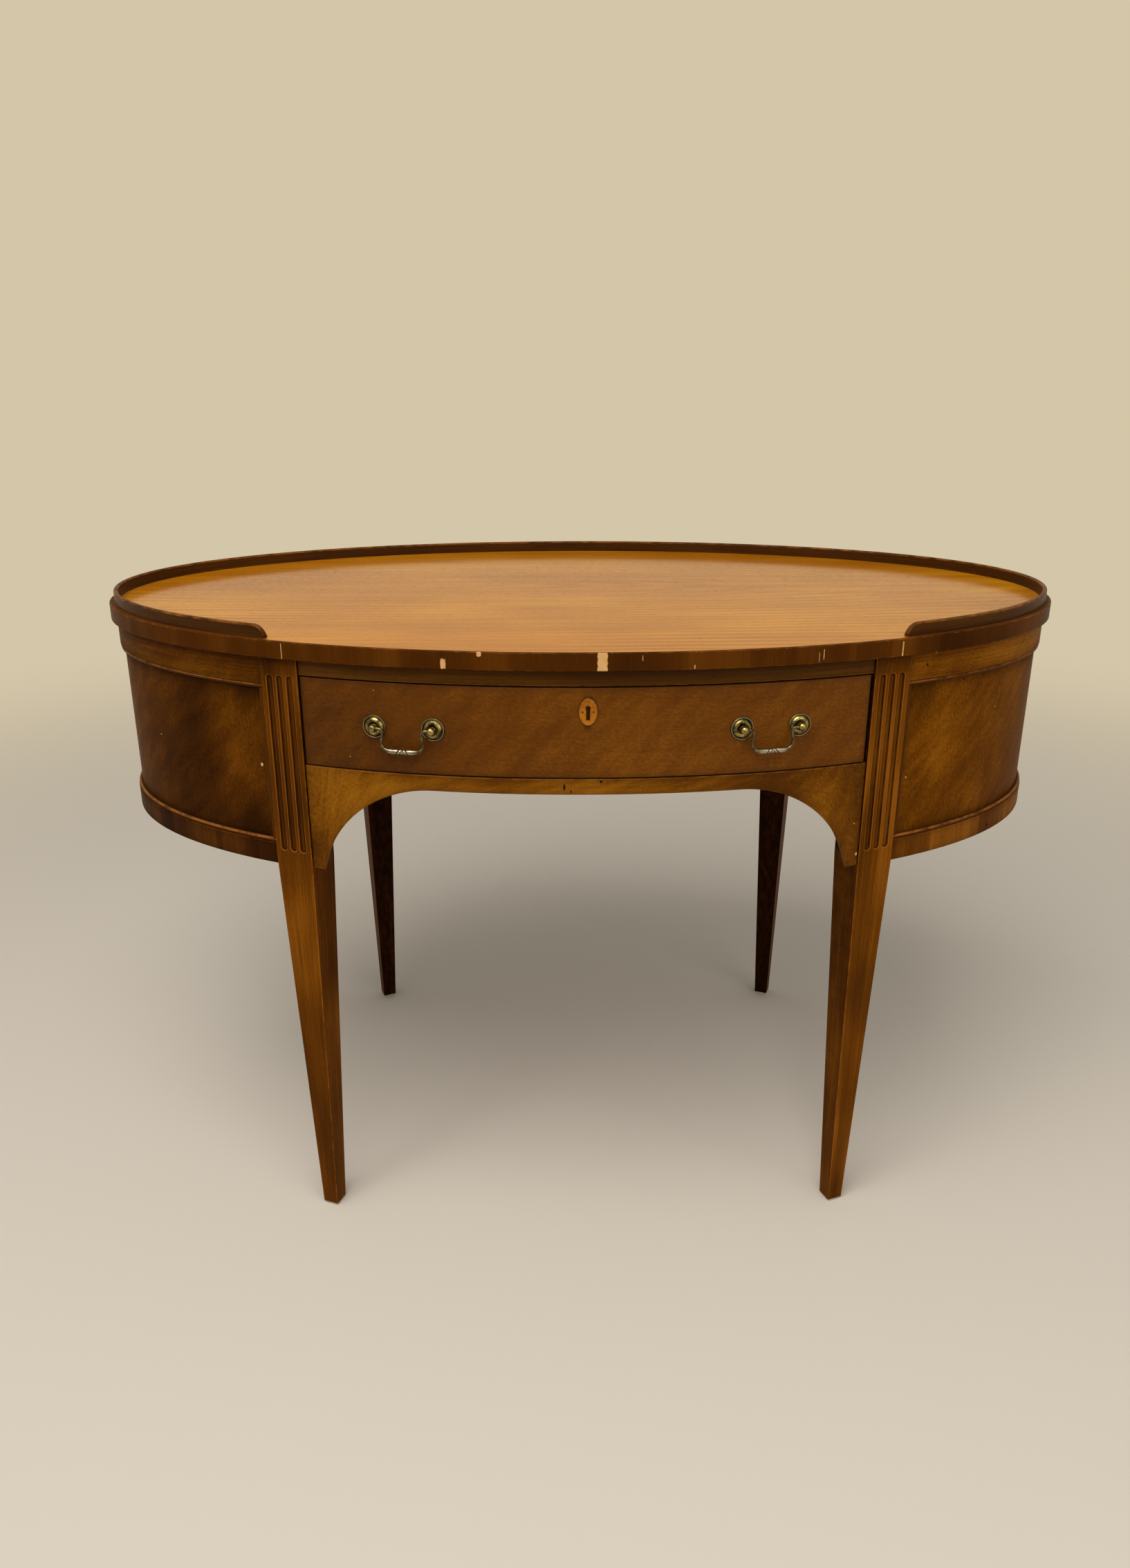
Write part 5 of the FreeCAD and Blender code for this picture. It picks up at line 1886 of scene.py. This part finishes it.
    def neck(self, side: int, x: float) -> Shell:
        """Post from inside the drawer front out to the ball: a profile of radius turned round its axis.

        A small collar stands at its root.

        Args:
            side: -1 for the left handle, 1 for the right one.
            x: The post's place along the handle.

        Returns:
            The skin, facing outwards.
        """
        proud = np.array([-30.0, 1.0, 2.6, 3.4, 4.0, 5.6])[:, None] * MM
        radius = np.array([2.25, 2.25, 3.6, 3.4, 2.3, 2.2])[:, None] * MM
        turn = circle(32)
        points = self.at(side, x + radius * np.cos(turn), -proud + 0 * turn, radius * np.sin(turn))
        dirt_and_shade = np.broadcast_to(np.array([0, 1, 0.7, 0.5, 0.9, 0.5])[:, None], points.shape[:2])
        return loft(points, proud[:, 0], ring_metres(0.015, len(turn)), {"grime": dirt_and_shade})

    def bail_path(self) -> Array:
        """Right half of the swan neck, from its middle to the pin, as cubic curves in x and z.

        Returns:
            Points of x and z.
        """
        corners = np.array([
            [[0, -25.0], [4, -25.0], [7, -25.0], [10.5, -25.0]],
            [[10.5, -25.0], [18.5, -25.0], [23.2, -22.0], [23.4, -15.5]],
            [[23.4, -15.5], [23.5, -11.5], [22.2, -9.5], [22.0, -5.4]],
            [[22.0, -5.4], [21.8, -1.6], [23.6, 0], [27.2, 0]],
            [[27.2, 0], [29.5, 0], [32, 0], [34.4, 0]],
        ]) * MM
        share = np.linspace(0, 1, 26)[:-1, None, None]
        rest = 1 - share
        powers = [rest ** 3, 3 * share * rest ** 2, 3 * share ** 2 * rest, share ** 3]
        weights = np.concatenate(powers, axis=1)[:, :, 0]
        runs = np.einsum("sk,ckd->csd", weights, corners).reshape(-1, 2)
        return np.concatenate([runs, corners[-1, -1:]])

    def bail(self, side: int) -> Shell:
        """Wire carried along the swan neck; its radius swells into two leaves that meet a carved chevron.

        Args:
            side: -1 for the left handle, 1 for the right one.

        Returns:
            The skin, facing outwards.
        """
        half = self.bail_path()
        path = np.concatenate([half[:0:-1] * [-1, 1], half])
        tangent = np.gradient(path, axis=0)
        tangent /= np.linalg.norm(tangent, axis=1, keepdims=True)
        normal = np.stack([-tangent[:, 1], tangent[:, 0]], axis=1)
        step = np.linalg.norm(np.diff(path, axis=0), axis=1)
        run = running(step)
        away = np.abs(run - run[-1] / 2)[:, None] / MM
        turn = circle(36)
        thick = np.interp(away, *np.array(self.bail_thickness).T)
        carved = 0.8 * np.exp(-((away - 5.3 + 1.7 * np.cos(turn)) / 0.6) ** 2)
        chevron = 0.5 * np.exp(-((away - 1.5 * (1 - np.cos(turn))) / 0.5) ** 2)
        leaf = smooth_step(away, 6.5, 8.5) * (1 - smooth_step(away, 13.0, 17.0))
        vein = 0.25 * np.exp(-((np.cos(turn) - 0.15) / 0.16) ** 2) * leaf
        radius = (thick - carved - chevron - vein) * MM
        radius[[0, -1]] *= 0.7
        x = path[:, :1] + normal[:, :1] * radius * np.cos(turn)
        z = path[:, 1:] + normal[:, 1:] * radius * np.cos(turn)
        points = self.at(side, x, -self.reach - radius * np.sin(turn), z)
        worn = (1 - smooth_step(away, 9.0, 24.0)) * np.ones(turn.shape)
        grime = np.clip(1.5 * carved + 1.8 * chevron + 2.0 * vein, 0, 1)
        marks = {"wear": worn * (1 - grime), "grime": grime}
        return loft(points, run, ring_metres(0.012, len(turn)), marks)


# Studio

@dataclass
class Studio:
    """Pale floor, soft lamps, pale surroundings and the camera, whose turn is in degrees."""

    camera_place: tuple[float, float, float] = (-0.0369, -1.5124, 1.0373)
    camera_turn: tuple[float, float, float] = (70.02, 0.04, -0.62)
    lens: float = 26.35
    floor_reach: float = 9.0
    low_backdrop: Colour = tone(212, 198, 168)
    high_backdrop: Colour = tone(232, 224, 208)
    ambient: float = 0.4
    sensor: float = 36.0
    floor_drop: float = 0.2 * MM
    floor_low: float = 20 * MM
    lamp_target: tuple[float, float, float] = (0.0, 0.0, 0.6)
    lamp_colour: tuple[float, float, float] = (1.0, 0.965, 0.91)

    def build(self) -> None:
        """Set up everything round the desk."""
        self.floor()
        self.world()
        self.lamp("key", (-0.6, -1.5, 3.0), 2.2, 74.0)
        self.lamp("fill", (1.7, -2.2, 1.6), 1.8, 12.0)
        self.camera()
        bpy.context.scene.view_settings.view_transform = "Standard"

    def floor(self) -> None:
        """Round pale floor: rings of points about the desk, a hair below its feet."""
        turn = circle(96)
        reach = np.array([0.01, 1.0, 3.0, self.floor_reach, self.floor_reach, 0.01])[:, None]
        height = -np.repeat([self.floor_drop, self.floor_low], [4, 2])[:, None]
        points = join(reach * np.cos(turn), reach * np.sin(turn), height)
        floor = make_mesh("studio_floor", [loft(points, np.arange(6.0), np.arange(97.0))])
        floor.data.materials.append(self.floor_material())

    def floor_material(self) -> bpy.types.Material:
        """Pale matt floor that fades into the backdrop with distance, where the camera or a shine sees it.

        Returns:
            The finished material.
        """
        shader = Shader.named("pale floor")
        away = shader.length(shader.coordinates())
        fade = away.between(1.1, 3.4) * shader.seen_by("Camera", "Glossy")
        matt = shader.node("ShaderNodeBsdfDiffuse", None, {"Color": tone(216, 208, 196)})
        glow = shader.node("ShaderNodeEmission", None, {"Color": self.low_backdrop})
        return shader.close(shader.node("ShaderNodeMixShader", None, {0: fade, 1: matt, 2: glow}))

    def world(self) -> None:
        """Pale surroundings, brighter upwards, for what the camera and shiny surfaces see, and a plain level
        of light for the rest.
        """
        shader = Shader(bpy.data.worlds.new("soft room"))
        rise = shader.axes("Generated")[2]
        colour = shader.mix(rise.between(0.25, 0.75), self.low_backdrop, self.high_backdrop)
        plain = {"Color": tone(255, 250, 242), "Strength": self.ambient}
        light = shader.node("ShaderNodeBackground", None, plain)
        shown = shader.node("ShaderNodeBackground", None, {"Color": colour})
        seen = shader.seen_by("Camera", "Glossy", "Transmission")
        both = shader.node("ShaderNodeMixShader", None, {0: seen, 1: light, 2: shown})
        bpy.context.scene.world = shader.close(both, "ShaderNodeOutputWorld")

    def lamp(self, name: str, spot: tuple[float, float, float], size: float, power: float) -> None:
        """Square soft lamp that faces the desk.

        Args:
            name: The lamp's name.
            spot: Where it hangs.
            size: Its side.
            power: Its power in watts.
        """
        lamp = bpy.data.lights.new(name, "AREA")
        lamp.size = size
        lamp.energy = power
        lamp.color = self.lamp_colour
        made = bpy.data.objects.new(name, lamp)
        made.location = spot
        away = np.array(spot) - np.array(self.lamp_target)
        flat = math.hypot(away[0], away[1])
        made.rotation_euler = (math.atan2(flat, away[2]), 0.0, math.atan2(away[0], -away[1]))
        bpy.context.scene.collection.objects.link(made)

    def camera(self) -> None:
        """Camera at the photograph's viewing angle."""
        camera = bpy.data.cameras.new("camera")
        camera.lens = self.lens
        camera.sensor_width = self.sensor
        made = bpy.data.objects.new("camera", camera)
        made.location = self.camera_place
        made.rotation_euler = [math.radians(turn) for turn in self.camera_turn]
        bpy.context.scene.collection.objects.link(made)
        bpy.context.scene.camera = made


def main() -> None:
    """Build the desk and its studio."""
    logging.basicConfig(level=logging.INFO, format="%(name)s: %(message)s")
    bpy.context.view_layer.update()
    for part in (OvalTop(), FlutedLegs(), Case(), Drawer(), Handles()):
        part.build()
    Studio().build()


if __name__ == "__main__":
    main()
